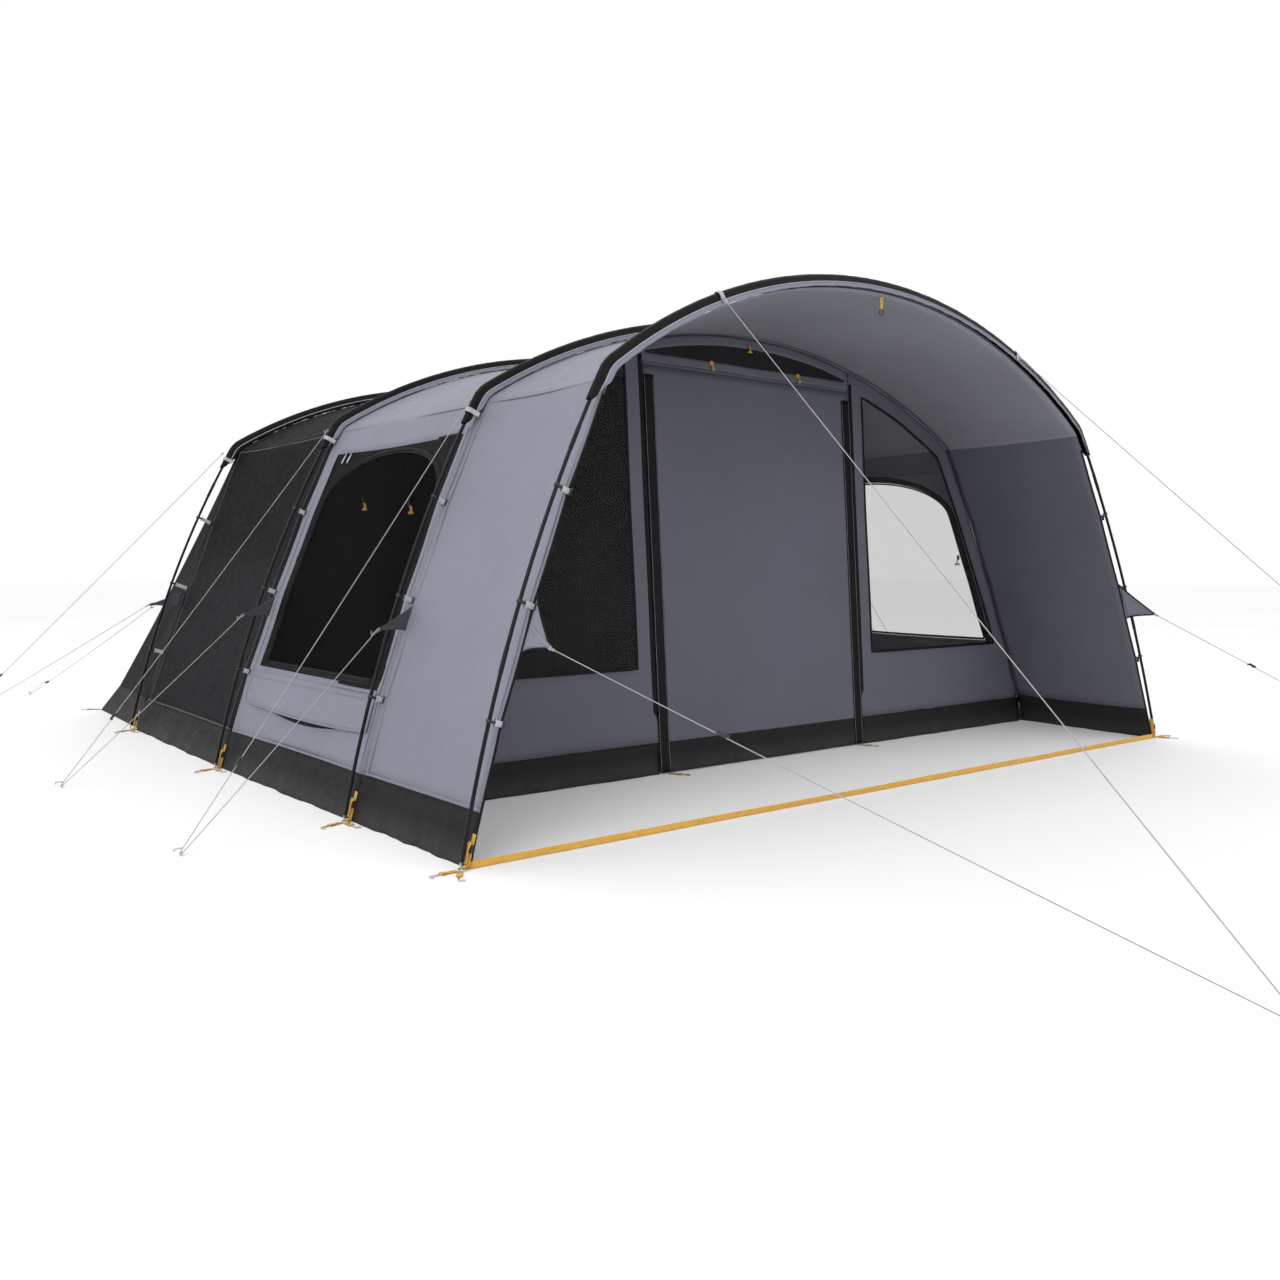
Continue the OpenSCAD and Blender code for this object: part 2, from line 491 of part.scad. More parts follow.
// The stretch of rope that a runner slides on: to the patch at the front, to the loop elsewhere
function runner_leg(k, s) = let (r = route(k, peg_at(k, s))) k == 0 ? [r[6], r[7]] : [r[1], r[0]];
module along_to(a, b, t) translate(a + (b - a) * t)
    rotate([0, acos((b - a)[2] / norm(b - a)), atan2((b - a)[1], (b - a)[0])]) children();
module runner(k, s) color("#2a2a2a") scale([s, 1, 1]) {
    leg = runner_leg(k, s);
    along_to(leg[0], leg[1], runner_at[k]) difference() {
        union() {
            cylinder(r = 5, h = 32, center = true);
            translate([-3, 0, -16]) cube([6, 14, 5]);
            translate([-3, 0, 11]) cube([6, 14, 5]);
        }
        cylinder(r = 2.4, h = 40, center = true);
    }
}
module guy_pegs() color("#8e9194") for (k = [0:4], s = [-1, 1]) scale([s, 1, 1]) {
    p = moved(peg_at(k, s));
    q = moved(rope_pts[k][0]);
    away = atan2(p[1] - q[1], p[0] - q[0]);
    translate([p[0], p[1], 0]) rotate(away) {
        cylinder(r = wire_r, h = 22);
        translate([0, 0, 22]) sphere(wire_r);
        translate([0, 0, 22]) rotate([0, 90, 0]) cylinder(r = wire_r, h = 24);
        translate([24, 0, 22]) sphere(wire_r);
        translate([24, 0, 14]) cylinder(r = wire_r, h = 8);
    }
}

pole_front();
pole_door();
pole_middle();
pole_bedroom();
pole_sleeves();
foot_pins();
fly_porch();
fly_living();
fly_bedroom();
fly_rear();
mud_flap_left();
mud_flap_right();
mud_flap_rear();
mud_flap_front();
window_surrounds();
mesh_window_left();
mesh_window_right();
front_wall_left();
front_wall_right();
door_header();
front_windows();
vent_mesh();
front_door();
zip_covers();
zip_slider_left();
zip_slider_right();
door_toggles();
guy_patches();
clip_tapes();
clip_hooks();
guy_loops();
foot_webbing();
foot_buckles();
front_strap();
peg_loops();
foot_pegs();
groundsheet();
inner_tent();
lantern_hook();
guy_pegs();
guy(0, -1);  // rope_front_left
guy(0, 1);  // rope_front_right
guy(1, -1);  // rope_door_left
guy(1, 1);  // rope_door_right
guy(2, -1);  // rope_middle_left
guy(2, 1);  // rope_middle_right
guy(3, -1);  // rope_bedroom_left
guy(3, 1);  // rope_bedroom_right
guy(4, -1);  // rope_rear_left
guy(4, 1);  // rope_rear_right
runner(0, -1);  // runner_front_left
runner(0, 1);  // runner_front_right
runner(1, -1);  // runner_door_left
runner(1, 1);  // runner_door_right
runner(2, -1);  // runner_middle_left
runner(2, 1);  // runner_middle_right
runner(3, -1);  // runner_bedroom_left
runner(3, 1);  // runner_bedroom_right
runner(4, -1);  // runner_rear_left
runner(4, 1);  // runner_rear_right
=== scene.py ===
"""Looks of the tunnel tent: cloth, webbing, mesh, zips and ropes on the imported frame."""
import math

import bpy
import numpy as np
from mathutils import Matrix, Vector


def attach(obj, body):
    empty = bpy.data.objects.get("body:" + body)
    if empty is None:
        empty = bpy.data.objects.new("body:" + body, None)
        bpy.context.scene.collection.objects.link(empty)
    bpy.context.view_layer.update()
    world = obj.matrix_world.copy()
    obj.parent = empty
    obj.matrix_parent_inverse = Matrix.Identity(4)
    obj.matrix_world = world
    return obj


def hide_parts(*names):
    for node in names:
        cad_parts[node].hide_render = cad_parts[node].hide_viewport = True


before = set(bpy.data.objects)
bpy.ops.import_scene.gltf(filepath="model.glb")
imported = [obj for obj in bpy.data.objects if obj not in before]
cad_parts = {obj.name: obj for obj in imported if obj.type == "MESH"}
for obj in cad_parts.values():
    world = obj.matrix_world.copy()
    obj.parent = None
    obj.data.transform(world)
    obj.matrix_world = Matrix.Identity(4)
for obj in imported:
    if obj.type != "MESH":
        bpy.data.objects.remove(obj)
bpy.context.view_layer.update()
MM = 0.001
rad, sin, cos = math.radians, math.sin, math.cos


# ---------------------------------------------------------------- camera
def photo_camera():
    """The photograph's viewpoint: where the camera stands and how it is turned."""
    yaw, pitch, roll = rad(37.94), rad(4.12), rad(0.16)
    ahead = Vector((sin(yaw) * cos(pitch), cos(yaw) * cos(pitch), -sin(pitch)))
    level = Vector((cos(yaw), -sin(yaw), 0))
    up = level.cross(ahead)
    right = level * cos(roll) + up * sin(roll)
    up = up * cos(roll) - level * sin(roll)
    data = bpy.data.cameras.new("camera")
    data.sensor_width = 36
    data.lens = 30.94
    data.clip_start, data.clip_end = 0.05, 200
    cam = bpy.data.objects.new("camera", data)
    bpy.context.scene.collection.objects.link(cam)
    turn = Matrix((right, up, -ahead)).transposed().to_4x4()
    cam.matrix_world = Matrix.Translation((-3.513, -4.986, 0.895)) @ turn
    bpy.context.scene.camera = cam


photo_camera()

# ---------------------------------------------------------------- the tent's line, as in the CAD
Y_FRONT = -2205.0
HOOP_Y = [Y_FRONT, -1440.0, -185.0, 1175.0]
LIVING_LEN = 1.255                    # hoop 1 to hoop 2 along the ground, metres
FOOT_X = [2000.0, 2030.0, 2080.0, 2100.0]
ELBOW_X = [1395.0, 1420.0, 1460.0, 1490.0]
CROWN_Z = [2000.0, 1945.0, 1965.0, 1965.0]
LEG_INSET = [22.0, 22.0, 22.0, 52.0]
ELBOW_Z, LEG_BOW, ELBOW_R, ROOF_D = 1535.0, 60.0, 150.0, 36.0
LEAN = rad(4.4)
REAR_Y = HOOP_Y[3] + 1070
FLAP_Z, SILL_Z, HEAD_V = 160.0, 450.0, 0.925
DOOR_X, DOOR_Z = 640.0, 1722.0
FLAP_V, SILL_V = FLAP_Z / ELBOW_Z, SILL_Z / ELBOW_Z


def heading(p):
    return math.atan2(p[1], p[0])


class Hoop:
    """The line of one pole: a leg arc, an elbow arc and a roof arc, in the hoop's leaning plane."""

    def __init__(self, i):
        self.y, self.foot = HOOP_Y[i], np.array([FOOT_X[i], 0.0])
        elbow = np.array([ELBOW_X[i], ELBOW_Z])
        chord = elbow - self.foot
        c = np.linalg.norm(chord)
        self.leg_r = (c * c / 4 + LEG_BOW ** 2) / 2 / LEG_BOW
        d = chord / c
        self.leg_c = (self.foot + elbow) / 2 - np.array([d[1], -d[0]]) * (self.leg_r - LEG_BOW)
        rise = CROWN_Z[i] - ELBOW_Z
        self.roof_r = (elbow[0] ** 2 + rise * rise) / 2 / rise
        self.roof_c = np.array([0, CROWN_Z[i] - self.roof_r])
        u = self.roof_c - self.leg_c
        d = np.linalg.norm(u)
        a, b = self.leg_r - ELBOW_R, self.roof_r - ELBOW_R
        k = (a * a - b * b + d * d) / 2 / d
        self.bend_c = self.leg_c + k * u / d + math.sqrt(a * a - k * k) * np.array([-u[1], u[0]]) / d
        self.a_foot = heading(self.foot - self.leg_c)
        self.a_bend = heading(self.bend_c - self.leg_c)
        self.a_roof = heading(self.bend_c - self.roof_c)
        self.sink = LEG_INSET[i]

    def angle(self, v):
        if v <= 1:
            return self.a_foot + (self.a_bend - self.a_foot) * v
        if v <= 1.2:
            return self.a_bend + (self.a_roof - self.a_bend) * (v - 1) / 0.2
        return self.a_roof + (math.pi / 2 - self.a_roof) * (v - 1.2) / 0.8

    def line(self, v, d=0.0):
        """Point of the hoop's plane: v 0 right foot, 1 elbow, 2 crown, 4 left foot; d deeper inside."""
        w = v if v <= 2 else 4 - v
        a = self.angle(w)
        n = np.array([cos(a), sin(a)])
        if w <= 1:
            p = self.leg_c + (self.leg_r - d) * n
        elif w <= 1.2:
            p = self.bend_c + (ELBOW_R - d) * n
        else:
            p = self.roof_c + (self.roof_r - d) * n
        return p if v <= 2 else np.array([-p[0], p[1]])

    def inset(self, v):
        w = v if v <= 2 else 4 - v
        return ROOF_D + self.sink * sin(math.pi * w) - 6 * (1 - w) if w < 1 else ROOF_D

    def put(self, p, off=0.0):
        """A point of the hoop's plane in the row frame, in metres, moved off along Y."""
        return np.array([p[0], self.y + p[1] * sin(LEAN) + off, max(p[1], 0) * cos(LEAN)]) * MM

    def cloth(self, v, d):
        return self.put(self.line(v, self.inset(v) + d))

    def arch_v(self, x):
        """The v at which the roof arc passes x."""
        a = math.acos(x / self.roof_r)
        return 1.2 + 0.8 * (a - self.a_roof) / (math.pi / 2 - self.a_roof)


HOOPS = [Hoop(i) for i in range(4)]


def spread(a, b, n):
    return [a + (b - a) * k / n for k in range(n + 1)]


def bump(x, centre, width):
    return math.exp(-((x - centre) / width) ** 2)


def crease(i, u, v):
    """Small folds of the cloth, in mm: long ripples along the bay, and pulls at the pole clips."""
    w = v if v <= 2 else 4 - v
    side = 0.0 if v <= 2 else 1.7
    r = 1.5 * sin(9.1 * w + 4.7 * u + 2.1 * i + side) + 1.1 * sin(17.3 * w - 7.9 * u + 1.3 * i + side)
    r += 0.7 * sin(31.0 * w + 11.0 * u + side) * sin(5.0 * u + i)
    edge = 4 * u * (1 - u)
    r *= 0.35 + 0.65 * edge
    if w < 1:
        for c in (0.27, 0.5, 0.74):
            for e in (0.0, 1.0):
                fan = math.exp(-abs(u - e) / 0.16)
                r -= 3.2 * bump(w, c, 0.035 + 0.12 * abs(u - e)) * fan
                r += 1.6 * fan * bump(w, c + 0.115, 0.05)
        for e in (0.0, 1.0):                    # folds that fan up from the pegged corners
            g = abs(u - e) + 0.02
            r += 2.6 * math.exp(-w / 0.5) * sin(3.2 * math.atan2(w, g) + 0.6 * i) * (1 - bump(w, 0, 0.05))
    return r


def sag(u, v):
    w = v if v <= 2 else 4 - v
    s = min(max((w - 0.9) / 0.5, 0), 1)
    s = s * s * (3 - 2 * s)
    return (13 + 9 * s) * (4 * u * (1 - u)) ** 0.8


def fly(i, u, v, d=0.0):
    """A point of the fly between hoops i and i + 1, in metres, d mm inside its outer face."""
    d = d + sag(u, v) + crease(i, u, v)
    return (1 - u) * HOOPS[i].cloth(v, d) + u * HOOPS[i + 1].cloth(v, d)


def wall(x, s, off=0.0):
    """A point of the front wall: x across, s up the leaning wall, off towards the porch; metres."""
    return np.array([x, HOOP_Y[1] + s * sin(LEAN) - off * cos(LEAN),
                     s * cos(LEAN) + off * sin(LEAN)]) * MM


# ---------------------------------------------------------------- meshes
class Build:
    """Collects vertices and faces for one object."""

    def __init__(self):
        self.v, self.f, self.m = [], [], []

    def grid(self, rows, close=False, mat=0, flip=False):
        """rows[k][j] are points; joins neighbours with quads."""
        base, n, m = len(self.v), len(rows), len(rows[0])
        for r in rows:
            self.v.extend(tuple(p) for p in r)
        for k in range(n - 1):
            for j in range(m if close else m - 1):
                a, b = base + k * m + j, base + k * m + (j + 1) % m
                q = (a, b, b + m, a + m)
                self.f.append(q[::-1] if flip else q)
                self.m.append(mat)

    def sweep(self, frames, profile, mat=0, caps=True):
        """A closed profile of (side, up) points in metres carried along (point, side, up) frames."""
        rows = [[p + s * a + t * b for a, b in profile] for p, s, t in frames]
        base, m = len(self.v), len(profile)
        self.grid(rows, close=True, mat=mat)
        if caps:
            last = base + (len(rows) - 1) * m
            self.f.append(tuple(base + j for j in range(m))[::-1])
            self.f.append(tuple(last + j for j in range(m)))
            self.m += [mat, mat]

    def obj(self, name, mats, body, node=None, slot=None, thick=0.0, smooth=True, inward=-1, lined=False):
        mesh = bpy.data.meshes.new(name)
        mesh.from_pydata([tuple(float(c) for c in p) for p in self.v], [], self.f)
        mesh.validate()
        for m in mats:
            mesh.materials.append(m)
        for p, k in zip(mesh.polygons, self.m):
            p.use_smooth, p.material_index = smooth, k
        mesh.update()
        o = bpy.data.objects.new(name, mesh)
        bpy.context.scene.collection.objects.link(o)
        if thick:
            s = o.modifiers.new("thickness", "SOLIDIFY")
            s.thickness, s.offset, s.use_even_offset = thick, inward, False
            s.material_offset = 1 if lined else 0
        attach(o, body)
        for n in ([node] if isinstance(node, str) else node or []):
            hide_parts(n)
        return o


def unit(p):
    p = np.asarray(p, float)
    return p / max(np.linalg.norm(p), 1e-12)


def frames_of(points, up):
    """(point, side, up) along a path, with a given rough up direction or one for each point."""
    points = [np.asarray(p, float) for p in points]
    out = []
    for k, p in enumerate(points):
        t = unit(points[min(k + 1, len(points) - 1)] - points[max(k - 1, 0)])
        n = np.asarray(up[k] if isinstance(up, list) else up, float)
        s = unit(np.cross(t, n))
        out.append((p, s, unit(np.cross(s, t))))
    return out


def strap(width, thick):
    """Profile of a webbing strap, with rounded selvedges."""
    w, t = width / 2, thick / 2
    return [(-w, 0), (-w + t, -t), (-w / 3, -t * 0.85), (w / 3, -t * 0.85), (w - t, -t), (w, 0),
            (w - t, t), (w / 3, t * 0.85), (-w / 3, t * 0.85), (-w + t, t)]


def ring(r, n=8):
    return [(r * cos(2 * math.pi * k / n), r * sin(2 * math.pi * k / n)) for k in range(n)]


def bend(points, n=6):
    """A smooth path through the points (Catmull-Rom)."""
    p = [np.asarray(q, float) for q in points]
    p = [2 * p[0] - p[1]] + p + [2 * p[-1] - p[-2]]
    out = []
    for k in range(1, len(p) - 2):
        for j in range(n):
            t = j / n
            out.append(0.5 * (2 * p[k] + (p[k + 1] - p[k - 1]) * t
                       + (2 * p[k - 1] - 5 * p[k] + 4 * p[k + 1] - p[k + 2]) * t * t
                       + (3 * p[k] - p[k - 1] - 3 * p[k + 1] + p[k + 2]) * t ** 3))
    return out + [p[-2]]


def between_loops(b, outer, inner, n, place, mat=0):
    """Joins two matching loops of 2-D points with n bands, each point placed on its surface."""
    rows = [[place(*(np.asarray(o) * (1 - s) + np.asarray(q) * s)) for o, q in zip(outer, inner)]
            for s in spread(0, 1, n)]
    b.grid(rows, close=True, mat=mat)


def fill_loop(b, loop, n, place, mat=0):
    """Fills a loop of 2-D points with n bands that shrink to a small centre."""
    c = np.mean(np.asarray(loop), axis=0)
    shrink = spread(0, 0.985, n)
    rows = [[place(*(np.asarray(o) * (1 - s) + c * s)) for o in loop] for s in shrink]
    base, m = len(b.v), len(loop)
    b.grid(rows, close=True, mat=mat)
    last = base + (len(rows) - 1) * m
    b.f.append(tuple(last + j for j in range(m)))
    b.m.append(mat)


# ---------------------------------------------------------------- materials
def node_material(name):
    m = bpy.data.materials.new(name)
    m.use_nodes = True
    t = m.node_tree
    return m, t, t.nodes["Principled BSDF"]


def ramp(t, source, stops):
    r = t.nodes.new("ShaderNodeValToRGB")
    while len(r.color_ramp.elements) < len(stops):
        r.color_ramp.elements.new(0.5)
    for e, (at, c) in zip(r.color_ramp.elements, stops):
        e.position, e.color = at, (*c, 1)
    t.links.new(source, r.inputs[0])
    return r.outputs[0]


def noise(t, coord, scale, detail=3.0, rough=0.5):
    n = t.nodes.new("ShaderNodeTexNoise")
    n.inputs["Scale"].default_value = scale
    n.inputs["Detail"].default_value = detail
    n.inputs["Roughness"].default_value = rough
    t.links.new(coord, n.inputs["Vector"])
    return n.outputs["Fac"]


def wave(t, coord, scale, direction, distortion=0.0):
    n = t.nodes.new("ShaderNodeTexWave")
    n.bands_direction = direction
    n.inputs["Scale"].default_value = scale
    n.inputs["Distortion"].default_value = distortion
    t.links.new(coord, n.inputs["Vector"])
    return n.outputs["Fac"]


def math_node(t, op, a, b):
    n = t.nodes.new("ShaderNodeMath")
    n.operation = op
    for k, x in enumerate((a, b)):
        if isinstance(x, (int, float)):
            n.inputs[k].default_value = x
        else:
            t.links.new(x, n.inputs[k])
    return n.outputs[0]


def bump_node(t, height, strength, distance, under=None):
    n = t.nodes.new("ShaderNodeBump")
    n.inputs["Strength"].default_value = strength
    n.inputs["Distance"].default_value = distance
    t.links.new(height, n.inputs["Height"])
    if under is not None:
        t.links.new(under, n.inputs["Normal"])
    return n.outputs["Normal"]


def tint(c, k):
    return tuple(min(1.0, x * k) for x in c)


def low_down(t, c, base, stops, colour, patchy=False):
    """Mixes another colour into the base where the cloth is near the ground, by its height in metres."""
    z = t.nodes.new("ShaderNodeSeparateXYZ")
    t.links.new(c, z.inputs[0])
    # this height mask lays dust on the flaps; on the charcoal cloth it is painted light and shade
    worn = ramp(t, z.outputs["Z"], stops)
    if patchy:
        worn = math_node(t, "MULTIPLY", worn, noise(t, c, 14.0, 6.0, 0.7))
    mix = t.nodes.new("ShaderNodeMix")
    mix.data_type = "RGBA"
    t.links.new(worn, mix.inputs["Factor"])
    t.links.new(base, mix.inputs["A"])
    mix.inputs["B"].default_value = (*colour, 1)
    return mix.outputs["Result"]


def cloth_material(name, colour, rough=0.62, sheen=0.25, thread=420.0, weave=0.10, mottle=0.07,
                   crumple=0.25, dust=False, painted_light_low_down=False, specular=0.35):
    """Woven cloth: crossed threads, soft crumple, uneven dye, a little sheen; if asked, dust low down, and
    painted light low down that leaves the cloth above 1 m darker as painted shade.
    """
    m, t, p = node_material(name)
    c = t.nodes.new("ShaderNodeTexCoord").outputs["Object"]
    uneven = noise(t, c, 1.7, 5.0, 0.6)
    base = ramp(t, uneven, [(0.3, tint(colour, 1 - mottle)), (0.5, colour), (0.7, tint(colour, 1 + mottle))])
    if dust:
        base = low_down(t, c, base, [(0.0, (0.5,) * 3), (0.09, (0.0,) * 3)], (0.12, 0.11, 0.10), patchy=True)
    # painted light and shade: lighter below 0.75 m, blending to the darker base colour by 1 m
    if painted_light_low_down:
        base = low_down(t, c, base, [(0.75, (1.0,) * 3), (1.0, (0.0,) * 3)], tint(colour, 1.9))
    t.links.new(base, p.inputs["Base Color"])
    threads = math_node(t, "ADD", wave(t, c, thread, "Y", 0.4), wave(t, c, thread, "Z", 0.4))
    threads = math_node(t, "ADD", threads, wave(t, c, thread, "X", 0.4))
    folds = noise(t, c, 7.0, 4.0, 0.55)
    n = bump_node(t, folds, crumple, 0.006)
    n = bump_node(t, threads, weave, 0.0006, n)
    t.links.new(n, p.inputs["Normal"])
    gloss = noise(t, c, 26.0, 4.0)
    r = ramp(t, gloss, [(0.3, (rough - 0.07,) * 3), (0.7, (min(rough + 0.08, 1),) * 3)])
    t.links.new(r, p.inputs["Roughness"])
    p.inputs["Sheen Weight"].default_value = sheen
    p.inputs["Sheen Roughness"].default_value = 0.45
    p.inputs["Specular IOR Level"].default_value = specular
    return m


def webbing_material(name, colour, pitch=210.0, rough=0.7, sheen=0.1, specular=0.3):
    """Woven tape: ribs across, a twill line, stitched rows and slightly worn, fuzzy edges."""
    m, t, p = node_material(name)
    c = t.nodes.new("ShaderNodeTexCoord").outputs["Object"]
    ribs = math_node(t, "ADD", wave(t, c, pitch, "X", 1.0), wave(t, c, pitch, "Y", 1.0))
    ribs = math_node(t, "ADD", ribs, wave(t, c, pitch, "Z", 1.0))
    worn = noise(t, c, 38.0, 6.0, 0.7)
    t.links.new(ramp(t, worn, [(0.25, tint(colour, 0.78)), (0.55, colour), (0.8, tint(colour, 1.12))]),
                p.inputs["Base Color"])
    n = bump_node(t, ribs, 0.35, 0.0008)
    n = bump_node(t, worn, 0.2, 0.001, n)
    t.links.new(n, p.inputs["Normal"])
    t.links.new(ramp(t, worn, [(0.3, (rough - 0.1,) * 3), (0.7, (min(1, rough + 0.1),) * 3)]),
                p.inputs["Roughness"])
    p.inputs["Sheen Weight"].default_value = sheen
    p.inputs["Specular IOR Level"].default_value = specular
    return m


def hard_material(name, colour, rough, metallic=0.0, grain=300.0, wear=0.15, coat=0.0, specular=0.5):
    """Moulded or drawn hard parts: fine grain, scuffs in the gloss, slightly uneven colour."""
    m, t, p = node_material(name)
    c = t.nodes.new("ShaderNodeTexCoord").outputs["Object"]
    scuff = noise(t, c, 22.0, 8.0, 0.7)
    t.links.new(ramp(t, scuff, [(0.35, tint(colour, 1 - wear)), (0.65, tint(colour, 1 + wear))]),
                p.inputs["Base Color"])
    t.links.new(ramp(t, scuff, [(0.3, (max(rough - 0.08, 0.03),) * 3), (0.75, (min(rough + 0.16, 1),) * 3)]),
                p.inputs["Roughness"])
    t.links.new(bump_node(t, noise(t, c, grain, 3.0), 0.18, 0.0003), p.inputs["Normal"])
    p.inputs["Metallic"].default_value = metallic
    p.inputs["Specular IOR Level"].default_value = specular
    p.inputs["Coat Weight"].default_value = coat
    return m


def mesh_material(name, colour, alpha, pitch=330.0):
    """Fine insect mesh or clear film: see-through, with a crossed thread relief."""
    m, t, p = node_material(name)
    c = t.nodes.new("ShaderNodeTexCoord").outputs["Object"]
    t.links.new(ramp(t, noise(t, c, 3.0, 4.0), [(0.3, tint(colour, 0.85)), (0.7, tint(colour, 1.15))]),
                p.inputs["Base Color"])
    threads = math_node(t, "ADD", wave(t, c, pitch, "Y"), wave(t, c, pitch, "Z"))
    t.links.new(bump_node(t, threads, 0.06, 0.0003), p.inputs["Normal"])
    t.links.new(ramp(t, noise(t, c, 40.0), [(0.3, (0.75,) * 3), (0.7, (0.9,) * 3)]), p.inputs["Roughness"])
    p.inputs["Specular IOR Level"].default_value = 0.06
    p.inputs["Alpha"].default_value = alpha
    return m


def film_material(name, colour, alpha):
    """Clear window film: glossy, with a faint ripple and a few soft scuffs."""
    m, t, p = node_material(name)
    c = t.nodes.new("ShaderNodeTexCoord").outputs["Object"]
    t.links.new(ramp(t, noise(t, c, 9.0, 5.0), [(0.3, tint(colour, 0.9)), (0.7, colour)]),
                p.inputs["Base Color"])
    t.links.new(ramp(t, noise(t, c, 30.0, 6.0), [(0.3, (0.05,) * 3), (0.8, (0.22,) * 3)]),
                p.inputs["Roughness"])
    t.links.new(bump_node(t, noise(t, c, 4.0, 3.0), 0.15, 0.003), p.inputs["Normal"])
    p.inputs["Alpha"].default_value = alpha
    return m


GREY = cloth_material("cloth_grey", (0.200, 0.209, 0.263), rough=0.6, sheen=0.04)
# Inside face of the grey fly, darker than its outer face: painted shade on the inside of the walls and
# window surrounds.
LINING_PAINTED_SHADE = cloth_material("lining_grey_painted_shade", (0.115, 0.118, 0.146), rough=0.7, sheen=0.0, specular=0.2)
# Inside face of the grey roof, lighter than the fly's outer face: painted light through the roof.
ROOF_LINING_PAINTED_LIGHT = cloth_material("roof_lining_painted_light", (0.225, 0.230, 0.260), rough=0.7, sheen=0.0, specular=0.2)
# Charcoal cloth with painted light low down; its darker upper part is painted shade.
CHARCOAL = cloth_material("cloth_charcoal", (0.0082, 0.0078, 0.0092), rough=0.7, sheen=0.0, weave=0.02,
                          crumple=0.15, specular=0.05, painted_light_low_down=True)
FLAP = cloth_material("flap_charcoal", (0.017, 0.0162, 0.0178), rough=0.65, sheen=0.0, weave=0.06,
                      specular=0.12, dust=True)
# Front wall, header and door: a darker copy of the fly's grey, painted shade under the porch roof.
WALL_PAINTED_SHADE = cloth_material("wall_grey", (0.108, 0.111, 0.138), rough=0.68, sheen=0.0, specular=0.25)
BLACK = cloth_material("black_cloth", (0.0045, 0.0045, 0.0048), rough=0.7, sheen=0.0, weave=0.05,
                       specular=0.1)
SLEEVE = cloth_material("sleeve_cloth", (0.005, 0.005, 0.0055), rough=0.42, sheen=0.0, thread=300,
                        weave=0.05, crumple=0.4, specular=0.13)
PIPING = webbing_material("piping", (0.36, 0.37, 0.42))
SEAM = webbing_material("seam_tape", (0.20, 0.207, 0.255))
SEAM_DARK = webbing_material("seam_dark", (0.030, 0.030, 0.034))
MESH = mesh_material("window_mesh", (0.011, 0.0107, 0.0117), 0.36)
VENT = mesh_material("vent_mesh", (0.020, 0.0195, 0.021), 0.92)
FILM = film_material("window_film", (0.30, 0.30, 0.31), 0.06)
ZIP = webbing_material("zip_tape", (0.007, 0.007, 0.008), pitch=260.0, rough=0.6, sheen=0.0, specular=0.15)
YELLOW = webbing_material("webbing_yellow", (0.72, 0.40, 0.06))
TAPE = webbing_material("webbing_grey", (0.46, 0.47, 0.50))
PATCH = cloth_material("patch_cloth", (0.052, 0.053, 0.066), rough=0.65, thread=260, weave=0.2)
INNER = cloth_material("inner_cloth", (0.006, 0.006, 0.0065), rough=0.8, sheen=0.0, crumple=0.4,
                       specular=0.08)
GROUND = cloth_material("groundsheet", (0.075, 0.077, 0.085), rough=0.5, weave=0.2, crumple=0.5)
ROPE = webbing_material("rope_braid", (0.40, 0.40, 0.40), pitch=330.0, rough=0.8)
STITCH = webbing_material("stitching", (0.30, 0.31, 0.34), pitch=500.0)
POLE = hard_material("pole_black", (0.004, 0.004, 0.0045), 0.22, grain=420.0, wear=0.25, specular=0.22)
PLASTIC = hard_material("black_plastic", (0.018, 0.018, 0.018), 0.45, grain=600.0)
STEEL = hard_material("wire_steel", (0.55, 0.56, 0.57), 0.32, metallic=1.0, grain=900.0)
METAL = hard_material("zip_metal", (0.60, 0.60, 0.62), 0.22, metallic=1.0, grain=900.0)


def paint_cad():
    """The rigid CAD nodes keep their shapes and get these materials."""
    paints = {"pole_": POLE, "foot_pins": STEEL, "foot_pegs": STEEL, "guy_pegs": STEEL,
              "zip_slider_": METAL, "clip_hooks": PLASTIC, "foot_buckles": PLASTIC, "runner_": PLASTIC}
    for name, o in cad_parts.items():
        for key, m in paints.items():
            if name.startswith(key) and name != "pole_sleeves":
                o.data.materials.clear()
                o.data.materials.append(m)


paint_cad()

# ---------------------------------------------------------------- ropes
ROPE_PTS = [
    ("front", (890, 118, 1807), (1170, -1900, 9), (1757, -105, 640)),
    ("door", (1475, 852, 1490), (2590, 662, 9), (1900, 765, 652)),
    ("middle", (1512, 2108, 1490), (2675, 1990, 9), (1952, 2020, 652)),
    ("bedroom", (1540, 3528, 1490), (2820, 4145, 9), (1970, 3478, 652)),
    ("rear", (1946, 3500, 640), (2250, 5380, 9), None)]
FRONT_PEG = {-1: (1245, -1945, 9), 1: (1090, -1850, 9)}
TURN_R, ROPE_D = 8.0, 0.003
SIDES = (("left", -1), ("right", 1))


def moved(p):
    return np.array([p[0], p[1] + Y_FRONT, p[2]], float)


def route(k, s):
    """The rope's points in metres: tent loop, round the peg, back to the patch (or up to its runner)."""
    _, start, peg, end = ROPE_PTS[k]
    a, p = moved(start), moved(FRONT_PEG[s] if k == 0 else peg)
    b = moved(end) if end else p + (a - p) * 0.16 + np.array([16, 0, 0])
    m = -unit(unit(a - p) + unit(b - p))
    n = unit(np.cross(m, (0, 0, 1)))
    n = n if (a - b) @ n > 0 else -n
    turn = [p + TURN_R * (sin(rad(t)) * n + cos(rad(t)) * m) for t in (90, 54, 18, -18, -54, -90)]
    return [q * np.array([s, 1, 1]) * MM for q in [a] + turn + [b]]


